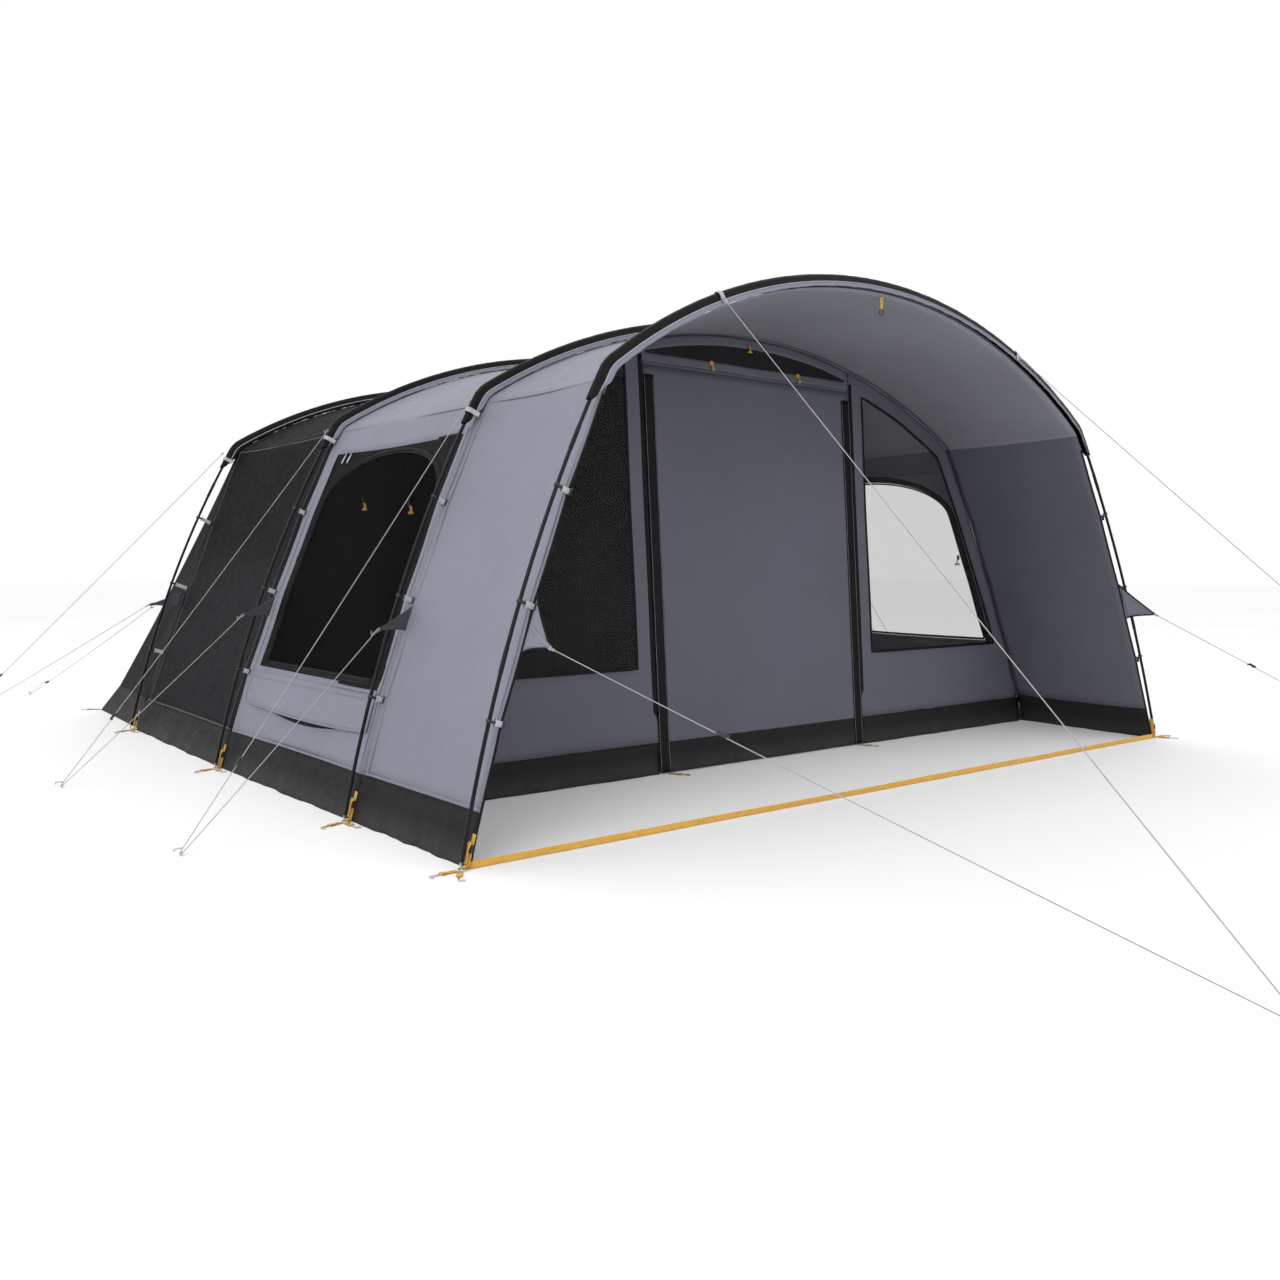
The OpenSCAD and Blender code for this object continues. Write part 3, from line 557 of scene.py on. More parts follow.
def rope_curve(name, points):
    data = bpy.data.curves.new(name, "CURVE")
    data.dimensions, data.bevel_depth, data.bevel_resolution = "3D", ROPE_D / 2, 2
    line = data.splines.new("POLY")
    line.points.add(len(points) - 1)
    for q, p in zip(line.points, points):
        q.co = (*p, 1)
    data.materials.append(ROPE)
    o = bpy.data.objects.new(name, data)
    bpy.context.scene.collection.objects.link(o)
    return o


def straight(a, b, n, dip):
    return [a + (b - a) * t - np.array([0, 0, dip * 4 * t * (1 - t)]) for t in spread(0, 1, n)]


def knot(name, at, direction, side):
    """A small hitch: four turns of rope round itself, and its tail."""
    b = Build()
    d = unit(direction)
    s = unit(np.cross(d, side))
    w = np.cross(d, s)
    turns = [at + d * (0.002 + 0.0036 * t) + 0.0028 * (cos(2 * math.pi * t) * s + sin(2 * math.pi * t) * w)
             for t in spread(0, 4, 32)]
    last = turns[-1]
    tail = bend([last, last + s * 0.008 + d * 0.004, last + s * 0.014 - w * 0.006 - d * 0.008])
    b.sweep(frames_of(turns + tail[1:], d + 0.3 * s), ring(0.0014, 6))
    return b.obj(name, [ROPE], "tent", slot="rope_white")


def ropes():
    for k, (name, _, _, end) in enumerate(ROPE_PTS):
        for side, s in SIDES:
            p = route(k, s)
            up = straight(p[0], p[1], 14, 0.006)
            back = straight(p[-2], p[-1], 14 if end else 5, 0.004 if end else 0.0)
            points = up + p[2:-2] + back
            o = rope_curve(f"guy_rope_{name}_{side}", points)
            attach(o, "tent")
            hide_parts(f"rope_{name}_{side}")
            k1 = knot(f"knot_{name}_{side}_upper", p[0], p[1] - p[0], (0, 0, 1))
            long = sum(np.linalg.norm(b - a) for a, b in zip(p, p[1:]))
            if end:
                knot(f"knot_{name}_{side}_lower", p[-1], p[-2] - p[-1], (0, 0, 1))
            tuple(p[0])


ropes()

# ---------------------------------------------------------------- the fly
OVER_V = (spread(FLAP_V, 1.0, 34) + spread(1.0, 1.2, 10)[1:] + spread(1.2, 2.0, 22)[1:]
          + spread(2.0, 2.8, 22)[1:] + spread(2.8, 3.0, 10)[1:] + spread(3.0, 4 - FLAP_V, 34)[1:])
WIN_U = (0.05, 0.93)


def girth(i, a, b):
    """Length of cloth along hoop i from a to b, in metres."""
    p = [HOOPS[i].cloth(v, 0) for v in spread(a, b, 60)]
    return sum(np.linalg.norm(y - x) for x, y in zip(p, p[1:]))


def mirrored(p):
    return np.array([-p[0], p[1], p[2]])


def sided(p, s):
    """A point worked out for the right side, put on the side s."""
    return p if s > 0 else mirrored(p)


SEAM_V = 1.03


def roof_or_wall(rows):
    """0 on the walls, 2 on the roof above the elbow seams, for each row of faces."""
    return [2 if SEAM_V < (a + b) / 2 < 4 - SEAM_V else 0 for a, b in zip(rows, rows[1:])]


def bay(i, name, node, mats, slot, n):
    b = Build()
    b.grid([[fly(i, u, v) for u in spread(0, 1, n)] for v in OVER_V])
    b.m = [k for k in roof_or_wall(OVER_V) for _ in range(n)]
    o = b.obj(name, mats, "tent", node, slot, thick=0.001, lined=True)
    girth(i, FLAP_V, 4 - FLAP_V)
    return o


def window_bay():
    """The living bay: one cloth with a rectangular opening in each side."""
    b = Build()
    vs = OVER_V
    us = [0, WIN_U[0] / 2] + spread(WIN_U[0], WIN_U[1], 40) + [(1 + WIN_U[1]) / 2, 1]
    lo = min(vs, key=lambda v: abs(v - SILL_V))
    hi = min(vs, key=lambda v: abs(v - HEAD_V))
    vs = [SILL_V if v == lo else HEAD_V if v == hi else 4 - SILL_V if abs(4 - v - lo) < 1e-9
          else 4 - HEAD_V if abs(4 - v - hi) < 1e-9 else v for v in vs]
    b.grid([[fly(1, u, v) for u in us] for v in vs])
    m = len(us) - 1
    side, keep, mats = roof_or_wall(vs), [], []
    for q, f in enumerate(b.f):
        k, j = divmod(q, m)
        w = (vs[k] + vs[k + 1]) / 2
        w = min(w, 4 - w)
        u = (us[j] + us[j + 1]) / 2
        if not (SILL_V < w < HEAD_V and WIN_U[0] < u < WIN_U[1]):
            keep.append(f)
            mats.append(side[k])
    b.f, b.m = keep, mats
    o = b.obj("fly_living_cloth", GREY_CLOTHS, "tent", "fly_living", "cloth_grey", thick=0.001, lined=True)
    full = LIVING_LEN * girth(1, FLAP_V, 4 - FLAP_V)
    hole = LIVING_LEN * (WIN_U[1] - WIN_U[0]) * girth(1, SILL_V, HEAD_V)
    girth(1, FLAP_V, 4 - FLAP_V)


# Outer wall, inner wall, outer roof, inner roof: the inner faces are painted shade on the walls and painted
# light on the roof.
GREY_CLOTHS = [GREY, LINING_PAINTED_SHADE, GREY, ROOF_LINING_PAINTED_LIGHT]
bay(0, "fly_porch_cloth", "fly_porch", GREY_CLOTHS, "cloth_grey", 22)
window_bay()
bay(2, "fly_bedroom_cloth", "fly_bedroom", [CHARCOAL, INNER, CHARCOAL, INNER], "cloth_charcoal", 34)

REAR_CORNER, REAR_HEM = (1975.0, HOOP_Y[3] + 760), (2040.0, HOOP_Y[3] + 960)
REAR_FIRST = FLAP_V + 0.008
REAR_V = [REAR_FIRST] + [v for v in OVER_V if REAR_FIRST < v < 4 - REAR_FIRST] + [4 - REAR_FIRST]


def rear_line(v, k):
    """The rear seam (k 0) or hem (k 1) opposite v on the bedroom hoop, in mm."""
    w = v if v <= 2 else 4 - v
    c = np.array(REAR_CORNER) * (1 - k) + np.array(REAR_HEM) * k
    b = np.array([0, REAR_Y - 130 * (1 - k)])
    a = np.array([HOOPS[3].cloth(FLAP_V, 0)[0] / MM + 40 * k, HOOP_Y[3] + 30])
    if w <= 1:
        q = a + (c - a) * (w - FLAP_V) / (1 - FLAP_V)
    else:
        q = c + (b - c) * sin(math.pi / 2 * (w - 1))
    return np.array([q[0] if v <= 2 else -q[0], q[1], FLAP_Z * (1 - k)])


def rear(v, t):
    """A point of the rear wall, from the bedroom hoop (t 0) to the seam (t 1), in metres."""
    w = v if v <= 2 else 4 - v
    top = HOOPS[3].cloth(v, crease(3, 0, v)) + np.array([0, 1, 0]) * MM
    low = rear_line(v, 0) * MM
    p = top + (low - top) * t
    side = 1 if v <= 2 else -1
    face = min(max((w - 0.75) / 0.5, 0), 1)
    n = np.array([side * (1 - face), face * 0.8, face * 0.6])
    dip = (26 * sin(math.pi * t) ** 0.9) * (0.55 + 0.45 * face)
    dip += 2.0 * sin(7 * w + 9 * t) * sin(math.pi * t) + 1.5 * sin(23 * w) * sin(math.pi * t) * t
    return p - n * dip * MM


def rear_flap(v, t):
    """A point of the rear flap, from the seam (t 0) to the hem (t 1), in metres."""
    a, b = rear_line(v, 0), rear_line(v, 1)
    wave_ = 3.0 * sin(3.1 * math.pi * v * 4) * t * (1 - 0.4 * t)
    p = a + (b - a) * t + np.array([0, wave_, 0])
    return p * MM


def rear_wall():
    b = Build()
    b.grid([[rear(v, t) for t in spread(0, 1, 26)] for v in REAR_V], flip=True)
    o = b.obj("fly_rear_cloth", [CHARCOAL], "tent", "fly_rear", "cloth_charcoal", thick=0.001, inward=1)
    width = sum(np.linalg.norm(rear(q, 0.5) - rear(p, 0.5)) for p, q in zip(REAR_V, REAR_V[1:]))
    height = np.mean([np.linalg.norm(rear(v, 1) - rear(v, 0)) for v in REAR_V])
    b = Build()
    b.grid([[rear_flap(v, t) for t in spread(0, 1, 5)] for v in REAR_V], flip=True)
    o = b.obj("flap_rear_cloth", [FLAP], "tent", "mud_flap_rear", "flap_charcoal", thick=0.001, inward=1)
    hem = sum(np.linalg.norm(rear_flap(q, .5) - rear_flap(p, .5)) for p, q in zip(REAR_V, REAR_V[1:]))


rear_wall()


def flap_point(i, u, v):
    """The mud flap under a side wall: it meets the cloth at the seam and ripples a little at the hem."""
    t = 1 - v / FLAP_V
    out = (4.5 * sin(21 * u + 2 * i) + 3 * sin(47 * u + i)) * t * 4 * u * (1 - u) - 3 * t
    return fly(i, u, v, out - sag(u, v) * t)


def side_flaps():
    for side, s in SIDES:
        b = Build()
        for i in range(3):
            rows = [[flap_point(i, u, v) for u in spread(0, 1, 26)] for v in spread(0, FLAP_V, 6)]
            b.grid([[sided(p, s) for p in r] for r in rows], flip=s < 0)
        a = [HOOPS[3].cloth(v, 0) for v in spread(0, FLAP_V, 6)]
        h, m = rear_flap(REAR_FIRST, 1), rear_flap(REAR_FIRST, 0)
        c = [h + (m - h) * t for t in spread(0, 1, 6)]
        rows = [[p, p + (q - p) * 0.5, q] for p, q in zip(a, c)]
        b.grid([[sided(p, s) for p in r] for r in rows], flip=s < 0)
        o = b.obj(f"flap_{side}_cloth", [FLAP], "tent", f"mud_flap_{side}", "flap_charcoal", thick=0.001)


side_flaps()

# ---------------------------------------------------------------- side windows
ARCH_MID, ARCH_HALF = 0.49, 0.40
ARCH_FROM, ARCH_TOP = 0.775, 0.915
ARCH_STEPS = 24


def arch_loop(g, n=ARCH_STEPS):
    """The arched window's outline as (u, v), inset by g, with the matching rectangle round it."""
    w, top = ARCH_HALF - g, ARCH_TOP - g
    lo = SILL_V + 0.008 + g
    arch, rect = [], []
    e = 0.006                                              # it runs under the cloth round the opening
    u0, u1, v0, v1 = WIN_U[0] - e, WIN_U[1] + e, SILL_V - e, HEAD_V + e
    for t in spread(0, 1, n)[:-1]:                         # up the left side
        arch.append((ARCH_MID - w, lo + (ARCH_FROM - lo) * t))
        rect.append((u0, v0 + (ARCH_FROM - v0) * t))
    for t in spread(0, math.pi, 2 * n)[:-1]:               # over the top
        arch.append((ARCH_MID - w * cos(t), ARCH_FROM + (top - ARCH_FROM) * sin(t)))
        k = max(abs(cos(t)), abs(sin(t)))
        rect.append((ARCH_MID + ((u1 if cos(t) < 0 else u0) - ARCH_MID) * abs(cos(t)) / k,
                     ARCH_FROM + (v1 - ARCH_FROM) * sin(t) / k))
    for t in spread(0, 1, n)[:-1]:                         # down the right side
        arch.append((ARCH_MID + w, ARCH_FROM + (lo - ARCH_FROM) * t))
        rect.append((u1, ARCH_FROM + (v0 - ARCH_FROM) * t))
    for t in spread(0, 1, n)[:-1]:                         # back along the sill
        arch.append((ARCH_MID + w - 2 * w * t, lo))
        rect.append((u1 + (u0 - u1) * t, v0))
    return arch, rect


def on_fly(i, s, d=0.0):
    def place(u, v):
        p = fly(i, u, v, d)
        return sided(p, s)
    return place


def ribbon_on(loop, place, closed=True, lift=0.0009):
    """Frames of a strip that follows (u, v) points on a surface."""
    p = [place(*q) for q in loop]
    if closed:
        p = p + [p[0]]
    n = []
    for q in (loop + [loop[0]] if closed else loop):
        a, b, c = place(*q), place(q[0] + 0.01, q[1]), place(q[0], q[1] + 0.01)
        k = unit(np.cross(b - a, c - a))
        n.append(k if k[0] * a[0] > 0 else -k)
    return frames_of([a + k * lift for a, k in zip(p, n)], n)


def side_window(side, s):
    arch, rect = arch_loop(0.0)
    place = on_fly(1, s, 1.5)
    b = Build()
    between_loops(b, rect, arch, 6, place)
    mats = [BLACK, LINING_PAINTED_SHADE] if s < 0 else [LINING_PAINTED_SHADE, BLACK]
    o = b.obj(f"surround_{side}", mats, "tent", "window_surrounds", "surround_black", thick=0.001,
              inward=-1 if s < 0 else 1, lined=True)
    bay_h = girth(1, SILL_V, HEAD_V)
    arch_area = LIVING_LEN * 2 * ARCH_HALF * (girth(1, SILL_V, ARCH_FROM)
                                         + math.pi / 4 * girth(1, ARCH_FROM, ARCH_TOP))
    inner, _ = arch_loop(0.0035)
    b = Build()
    fill_loop(b, inner, 10, on_fly(1, s, 2.5))
    o = b.obj(f"mesh_{side}", [MESH], f"mesh_window_{side}", f"mesh_window_{side}", "mesh")
    girth(1, SILL_V, ARCH_TOP)
    b = Build()
    outer, _ = arch_loop(-0.002)
    edge, _ = arch_loop(0.0075)
    b.sweep(ribbon_on(outer, place, lift=0.0012), strap(0.009, 0.0015))
    facing = arch_loop(-0.011)[0][:1 - ARCH_STEPS]                    # inside, all but the sill
    b.sweep(ribbon_on(facing, on_fly(1, s, 4.2), closed=False), strap(0.034, 0.0012))
    b.obj(f"arch_zip_{side}", [ZIP], "tent", slot="zip_black")
    b = Build()
    b.sweep(ribbon_on(edge, on_fly(1, s, 2.0), lift=0.0014), strap(0.010, 0.0016))
    coil, _ = arch_loop(0.0025)
    b.sweep(ribbon_on(coil, on_fly(1, s, 0.5), lift=0.0018), ring(0.0024, 6))
    b.obj(f"arch_binding_{side}", [ZIP], f"mesh_window_{side}", slot="zip_black")


for side_, s_ in SIDES:
    side_window(side_, s_)


TOGGLE_UV = {"left": ((0.58, 0.765), (0.24, 0.745)), "right": ((0.60, 0.765), (0.115, 0.61))}


def window_toggles():
    """Toggles inside each mesh panel, for tying it open, and white ties by the zip's end."""
    for side, s in SIDES:
        b = Build()
        for u, v in TOGGLE_UV[side]:
            p = on_fly(1, s, 4.5)(u, v)
            into = np.array([-s, 0, -0.25])
            drop = np.array([0, 0, -1.0])
            b.sweep(frames_of([p + drop * q - into * 0.001 for q in (-0.022, -0.01, 0.004)], into),
                    strap(0.016, 0.0014), mat=1)
            path = bend([p + into * 0.001, p + into * 0.008 + drop * 0.008, p + into * 0.006 + drop * 0.026])
            b.sweep(frames_of(path, (0, 1, 0)), strap(0.010, 0.0018))
            bar = [path[-1] + np.array([0, y, 0]) for y in spread(-0.015, 0.015, 6)]
            b.sweep(frames_of(bar, (0, 0, 1)), ring(0.005, 8))
        b.obj(f"window_toggles_{side}", [YELLOW, ZIP], f"mesh_window_{side}", slot="strap_yellow")
        b = Build()
        for u in (0.82, 0.86):
            path = bend([on_fly(1, s, -2)(u, 0.930), on_fly(1, s, -6)(u - 0.005, 0.915),
                         on_fly(1, s, -4)(u + 0.006, 0.893)])
            b.sweep(frames_of(path, (s, 0, 0)), strap(0.011, 0.0014))
        b.obj(f"window_ties_{side}", [TAPE], "tent", slot="rope_white")


window_toggles()

# ---------------------------------------------------------------- seams and piping on the fly
def line_on_fly(b, i, points, s, width, mat=0, lift=0.0012, thick=0.0012):
    b.sweep(ribbon_on(points, on_fly(i, s), closed=False, lift=lift), strap(width, thick), mat=mat)


def seams():
    light, dark = Build(), Build()
    for s in (1, -1):
        vs = spread(FLAP_V, 1.99, 70)
        for i, b in ((0, light), (1, light), (2, dark)):
            for u in (0.045, 0.965) if i != 1 else (0.03, 0.968):
                line_on_fly(b, i, [(u, v) for v in vs if v < 0.95 or i != 1], s, 0.008)
        for i, b in ((0, light), (1, light), (2, dark)):
            line_on_fly(b, i, [(u, FLAP_V + 0.004) for u in spread(0.01, 0.99, 30)], s, 0.009)
        # curved seam where the living wall meets the roof, and the darts below the window
        line_on_fly(light, 1, [(u, 1.02 + 0.05 * sin(math.pi * u)) for u in spread(0.01, 0.99, 30)],
                    s, 0.008)
        line_on_fly(light, 0, [(u, 1.03) for u in spread(0.01, 0.99, 20)], s, 0.008)
        line_on_fly(dark, 2, [(u, 1.03) for u in spread(0.01, 0.99, 30)], s, 0.008)
        line_on_fly(light, 1, [(u, SILL_V - 0.012) for u in spread(0.04, 0.95, 30)], s, 0.010)
    for b, name, mats in ((light, "fly_seams", [SEAM]), (dark, "fly_seams_dark", [SEAM_DARK])):
        b.obj(name, mats, "tent")


seams()


def vent_lips():
    """The low vent in each living wall: a lip of cloth that laps over a slit and stands off it."""
    for side, s in SIDES:
        b = Build()
        rows = []
        for t in spread(0, 1, 8):
            row = []
            for u in spread(0.045, 0.955, 60):
                open_ = sin(math.pi * (u - 0.045) / 0.91) ** 0.7
                out = (2.0 + 15.0 * t ** 1.6 * open_ + 1.5 * t * sin(23 * u))
                row.append(on_fly(1, s, -out)(u, 0.262 - 0.068 * t - 0.012 * t * open_))
            rows.append(row)
        b.grid(rows, flip=s < 0)
        b.sweep(frames_of(rows[-1], (s, 0, 0.1)), strap(0.006, 0.002))
        o = b.obj(f"vent_lip_{side}", [GREY], "tent", slot="cloth_grey", thick=0.001)
        # A dark vent-mesh strip laid on the cloth under the lip, widest in the middle: painted shade for the
        # slit and the lip's shadow.
        b = Build()
        rows = []
        for t in spread(0, 1, 4):
            rows.append([on_fly(1, s, -0.8)(u, (0.196 - 0.026 * sin(math.pi * (u - 0.12) / 0.76)) * (1 - t)
                                            + 0.22 * t)
                         for u in spread(0.12, 0.88, 40)])
        b.grid(rows)
        b.obj(f"vent_slit_painted_shadow_{side}", [VENT], "tent", slot="mesh")


vent_lips()


def porch_piping():
    """Black piping along the porch's free front edges."""
    b = Build()
    for s in (1, -1):
        edge = [(0.002, v) for v in spread(0.01, 0.96, 60)]
        b.sweep(ribbon_on(edge, on_fly(0, s), closed=False, lift=0.0015), ring(0.0042, 8))
    b.obj("porch_piping", [ZIP], "tent", slot="sleeve_black")


porch_piping()

# ---------------------------------------------------------------- pole sleeves
SLEEVE_HALF = [(-34, 24), (-26, 19.5), (-17, 16), (-15.5, 15.4), (-8, 13.4), (0, 12.8), (7, 10.6),
               (11.6, 5.6)]
SLEEVE_CUT = SLEEVE_HALF + [(12.9, 0)] + [(r, -y) for r, y in SLEEVE_HALF[::-1]]
SLEEVE_EDGE = -15                           # below this the sleeve's skirt is the fly's own cloth
SKIRTS = [(GREY, GREY), (GREY, GREY), (CHARCOAL, GREY), (CHARCOAL, CHARCOAL)]     # behind, in front


def sleeve(i):
    h = HOOPS[i]
    b = Build()
    vs = spread(0.93, 1.2, 26) + spread(1.2, 2.8, 150)[1:] + spread(2.8, 3.07, 26)[1:]
    rows = []
    for k, v in enumerate(vs):
        end = max(0.0, 1 - (v - vs[0]) / 0.055) + max(0.0, 1 - (vs[-1] - v) / 0.055)
        puck = 0.9 * sin(k * 1.9) + 0.7 * sin(k * 0.83 + i)
        row = []
        for r, y in SLEEVE_CUT:
            skirt = min(max(-r / 34, 0), 1)
            rr = (r + puck * (0.4 + 0.6 * skirt) * (1 if abs(y) > 4 else 0.4)) * (1 - 0.5 * end * skirt)
            # the ends are cut to a V: the skirt draws in and stops short of the pole
            vv = v + (0.03 if v < 2 else -0.03) * end * skirt
            row.append(h.put(h.line(vv, -rr), y * (1 - 0.35 * end * skirt) + 0.5 * sin(k * 0.7 + y)))
        rows.append(row)
    b.grid(rows)
    half, band = len(SLEEVE_CUT) // 2, len(SLEEVE_CUT) - 1
    sides = [0 if min(a[0], c[0]) > SLEEVE_EDGE - 2 else 1 if j < half else 2
             for j, (a, c) in enumerate(zip(SLEEVE_CUT, SLEEVE_CUT[1:]))]
    b.m = [sides[q % band] for q in range(len(b.f))]
    o = b.obj(f"sleeve_{i}", [SLEEVE, *SKIRTS[i]], "tent", "pole_sleeves", "sleeve_black",
              thick=0.0012, inward=1)
    long = sum(np.linalg.norm(h.put(h.line(q)) - h.put(h.line(p))) for p, q in zip(vs, vs[1:]))
    # the grey trim where the sleeve is sewn to the fly
    t = Build()
    for y in (-17.6, 17.6):
        line = [h.put(h.line(v, 17), y) for v in spread(0.97, 3.03, 150)]
        ups = [h.put(h.line(v, 0), y * 2.4) - h.put(h.line(v, 17), y) for v in spread(0.97, 3.03, 150)]
        t.sweep(frames_of(line, ups), strap(0.0045, 0.0016))
    t.obj(f"sleeve_trim_{i}", [PIPING], "tent")


for i_ in range(4):
    sleeve(i_)

# ---------------------------------------------------------------- front wall
WALL_GAP, FRAME_W, WINDOW_X = 7.0, 85.0, 735.0


def ripple(x, s):
    return (1.6 * sin(x / 95.0 + s / 410.0) + 1.1 * sin(x / 47.0 - s / 230.0)
            + 1.2 * sin(s / 120.0 + x / 600.0))


def wall_place(s, base=0.0, amount=1.0):
    def place(x, z):
        return wall(s * x, z, base + amount * ripple(x, z))
    return place


def arch_points(d, a, b, n):
    h = HOOPS[1]
    return [h.line(v, h.inset(v) + d) for v in spread(a, b, n)]


def arch_v_at(d, x=None, z=None):
    """The v at which the wall's arch, d mm inside the fly, passes a given x or height."""
    h, lo, hi = HOOPS[1], 0.0, 2.0
    for _ in range(50):
        mid = (lo + hi) / 2
        p = h.line(mid, h.inset(mid) + d)
        if (p[0] > x) if x is not None else (p[1] < z):
            lo = mid
        else:
            hi = mid
    return lo


def wall_loops(out_d, in_d, out_x, out_z, in_x, in_z, n=40):
    outer, inner = [], []
    for loop, d, x, z in ((outer, out_d, out_x, out_z), (inner, in_d, in_x, in_z)):
        a, b = arch_v_at(d, z=z), arch_v_at(d, x=x)
        curve = arch_points(d, a, b, n)
        left = [np.array([x, q]) for q in spread(curve[-1][1], z, n // 2)[1:]]
        low = [np.array([q, z]) for q in spread(x, curve[0][0], n // 2)[1:-1]]
        loop.extend(list(curve) + left + low)
    return outer, inner


def front_side(side, s):
    outer, inner = wall_loops(WALL_GAP, WALL_GAP + FRAME_W, DOOR_X + 3, FLAP_Z - 25, WINDOW_X, SILL_Z)
    b = Build()
    between_loops(b, outer, inner, 8, wall_place(s))
    o = b.obj(f"wall_{side}", [WALL_PAINTED_SHADE], "tent", f"front_wall_{side}", "wall_grey", thick=0.001, inward=0)
    width, height = outer[0][0] - DOOR_X, outer[40][1] - FLAP_Z + 25

    def area(loop):
        q = np.array(loop)
        return abs(np.sum(q[:, 0] * np.roll(q[:, 1], -1) - q[:, 1] * np.roll(q[:, 0], -1))) / 2 * MM * MM
    whole = width * height * MM * MM
    max(area(outer) - area(inner), 0.31 * whole)
    _, film = wall_loops(WALL_GAP, WALL_GAP + FRAME_W + 1, DOOR_X + 3, FLAP_Z - 25, WINDOW_X + 1, SILL_Z + 1)
    b = Build()
    fill_loop(b, film, 8, wall_place(s, 0.0, 0.8))
    o = b.obj(f"window_film_{side}", [FILM], "tent", "front_windows", "window_film")
    area(film)
    # binding round the window, on both faces
    b = Build()
    loop = inner + [inner[0]]
    for off in (1.6, -1.6):
        p = [wall_place(s, off)(*q) for q in loop]
        b.sweep(frames_of(p, wall(0, 0, 1) - wall(0, 0, 0)), strap(0.013, 0.0014))
    b.obj(f"window_binding_{side}", [ZIP], "tent", slot="surround_black")
    # mud flap
    b = Build()
    flap_x = spread(DOOR_X + 3, HOOPS[1].line(0.06, HOOPS[1].inset(0.06) + WALL_GAP)[0], 36)
    rows = [[wall(s * x, z, (4 * sin(x / 60) + 2 * sin(x / 23)) * (1 - z / 135)) for x in flap_x]
            for z in spread(1.0, FLAP_Z - 26, 6)]
    b.grid(rows)
    o = b.obj(f"flap_front_{side}", [FLAP], "tent", "mud_flap_front", "flap_charcoal", thick=0.001, inward=0)


for side_, s_ in SIDES:
    front_side(side_, s_)


def header():
    """The strip over the door, with its long vent."""
    h = HOOPS[1]

    def loops(d, x, z):
        a = arch_v_at(d, x=x)
        top = [h.line(v, h.inset(v) + d) for v in spread(a, 4 - a, 60)]
        side = [np.array([-x, q]) for q in spread(top[-1][1], z, 6)[1:]]
        low = [np.array([q, z]) for q in spread(-x, x, 60)[1:]]
        back = [np.array([x, q]) for q in spread(z, top[0][1], 6)[1:-1]]
        return list(top) + side + low + back
    outer, inner = loops(WALL_GAP, DOOR_X, DOOR_Z + 14), loops(WALL_GAP + 45, DOOR_X - 20, 1772.0)
    place = wall_place(1)
    b = Build()
    between_loops(b, outer, inner, 4, place)
    b.grid([[wall(x, z, -3.5 + 0.4 * sin(x / 70.0)) for x in spread(-DOOR_X, DOOR_X, 60)]
            for z in spread(DOOR_Z - 12, DOOR_Z + 17, 3)])       # it laps behind the door's top edge
    o = b.obj("header_cloth", [WALL_PAINTED_SHADE], "tent", "door_header", "wall_grey", thick=0.001, inward=0)
    b = Build()
    fill_loop(b, inner, 3, wall_place(1, -0.5))
    o = b.obj("vent_cloth", [VENT], "tent", "vent_mesh", "mesh")


header()
NORMAL = wall(0, 0, 1) - wall(0, 0, 0)


def door():
    """The front door hangs as one cloth: flat at its zips, rippling a little between them."""
    xs = spread(3 - DOOR_X, DOOR_X - 3, 48)
    zs = spread(4, FLAP_Z - 26, 6) + spread(FLAP_Z - 26, DOOR_Z, 46)[1:]

    def place(x, z):
        free = (1 - (x / DOOR_X) ** 2) ** 0.5 * min(1, (DOOR_Z - z) / 150)
        r = 2.6 * sin(x / 88.0 + z / 900) + 1.5 * sin(x / 41.0 - z / 520) + 1.3 * sin(z / 170 + x / 300)
        return wall(x, z, r * free)
    b = Build()
    b.grid([[place(x, z) for x in xs] for z in zs])
    b.m = [1 if sum(b.v[q][2] for q in f) / 4 < (FLAP_Z - 26) * MM else 0 for f in b.f]
    o = b.obj("door_cloth", [WALL_PAINTED_SHADE, FLAP], "front_door", "front_door", "wall_grey", thick=0.001, inward=0)
    # the storm flaps over the zips and their stitching
    b, c = Build(), Build()
    for s in (1, -1):
        mid = DOOR_X - 29
        path = [wall(s * mid, z, 3.4 + 0.7 * sin(z / 33)) for z in spread(8, DOOR_Z - 42, 70)]
        cut = [(-0.029, -0.0008), (-0.0285, 0.0006), (-0.012, 0.0014), (0.0, 0.002), (0.014, 0.0022),
               (0.0265, 0.0018), (0.029, 0.0), (0.0265, -0.0008)]
        b.sweep(frames_of(path, NORMAL), cut)
        for dx in (-24, 23):
            c.sweep(frames_of([wall(s * (mid + dx), z, 5.6 + 0.7 * sin(z / 33)) for z in
                               spread(10, DOOR_Z - 44, 60)], NORMAL), strap(0.0016, 0.0007))
    o = b.obj("zip_flaps", [ZIP], "front_door", "zip_covers", "zip_black")
    c.obj("zip_flap_stitching", [STITCH], "front_door")
    # zip coils along the edges that stay on the wall
    b = Build()
    for s in (1, -1):
        path = [wall(s * (DOOR_X + 12), z, 1.6) for z in spread(FLAP_Z - 22, DOOR_Z + 40, 60)]
        b.sweep(frames_of(path, NORMAL), strap(0.021, 0.0014))
    b.obj("door_zip_tape", [ZIP], "tent", slot="zip_black")


door()


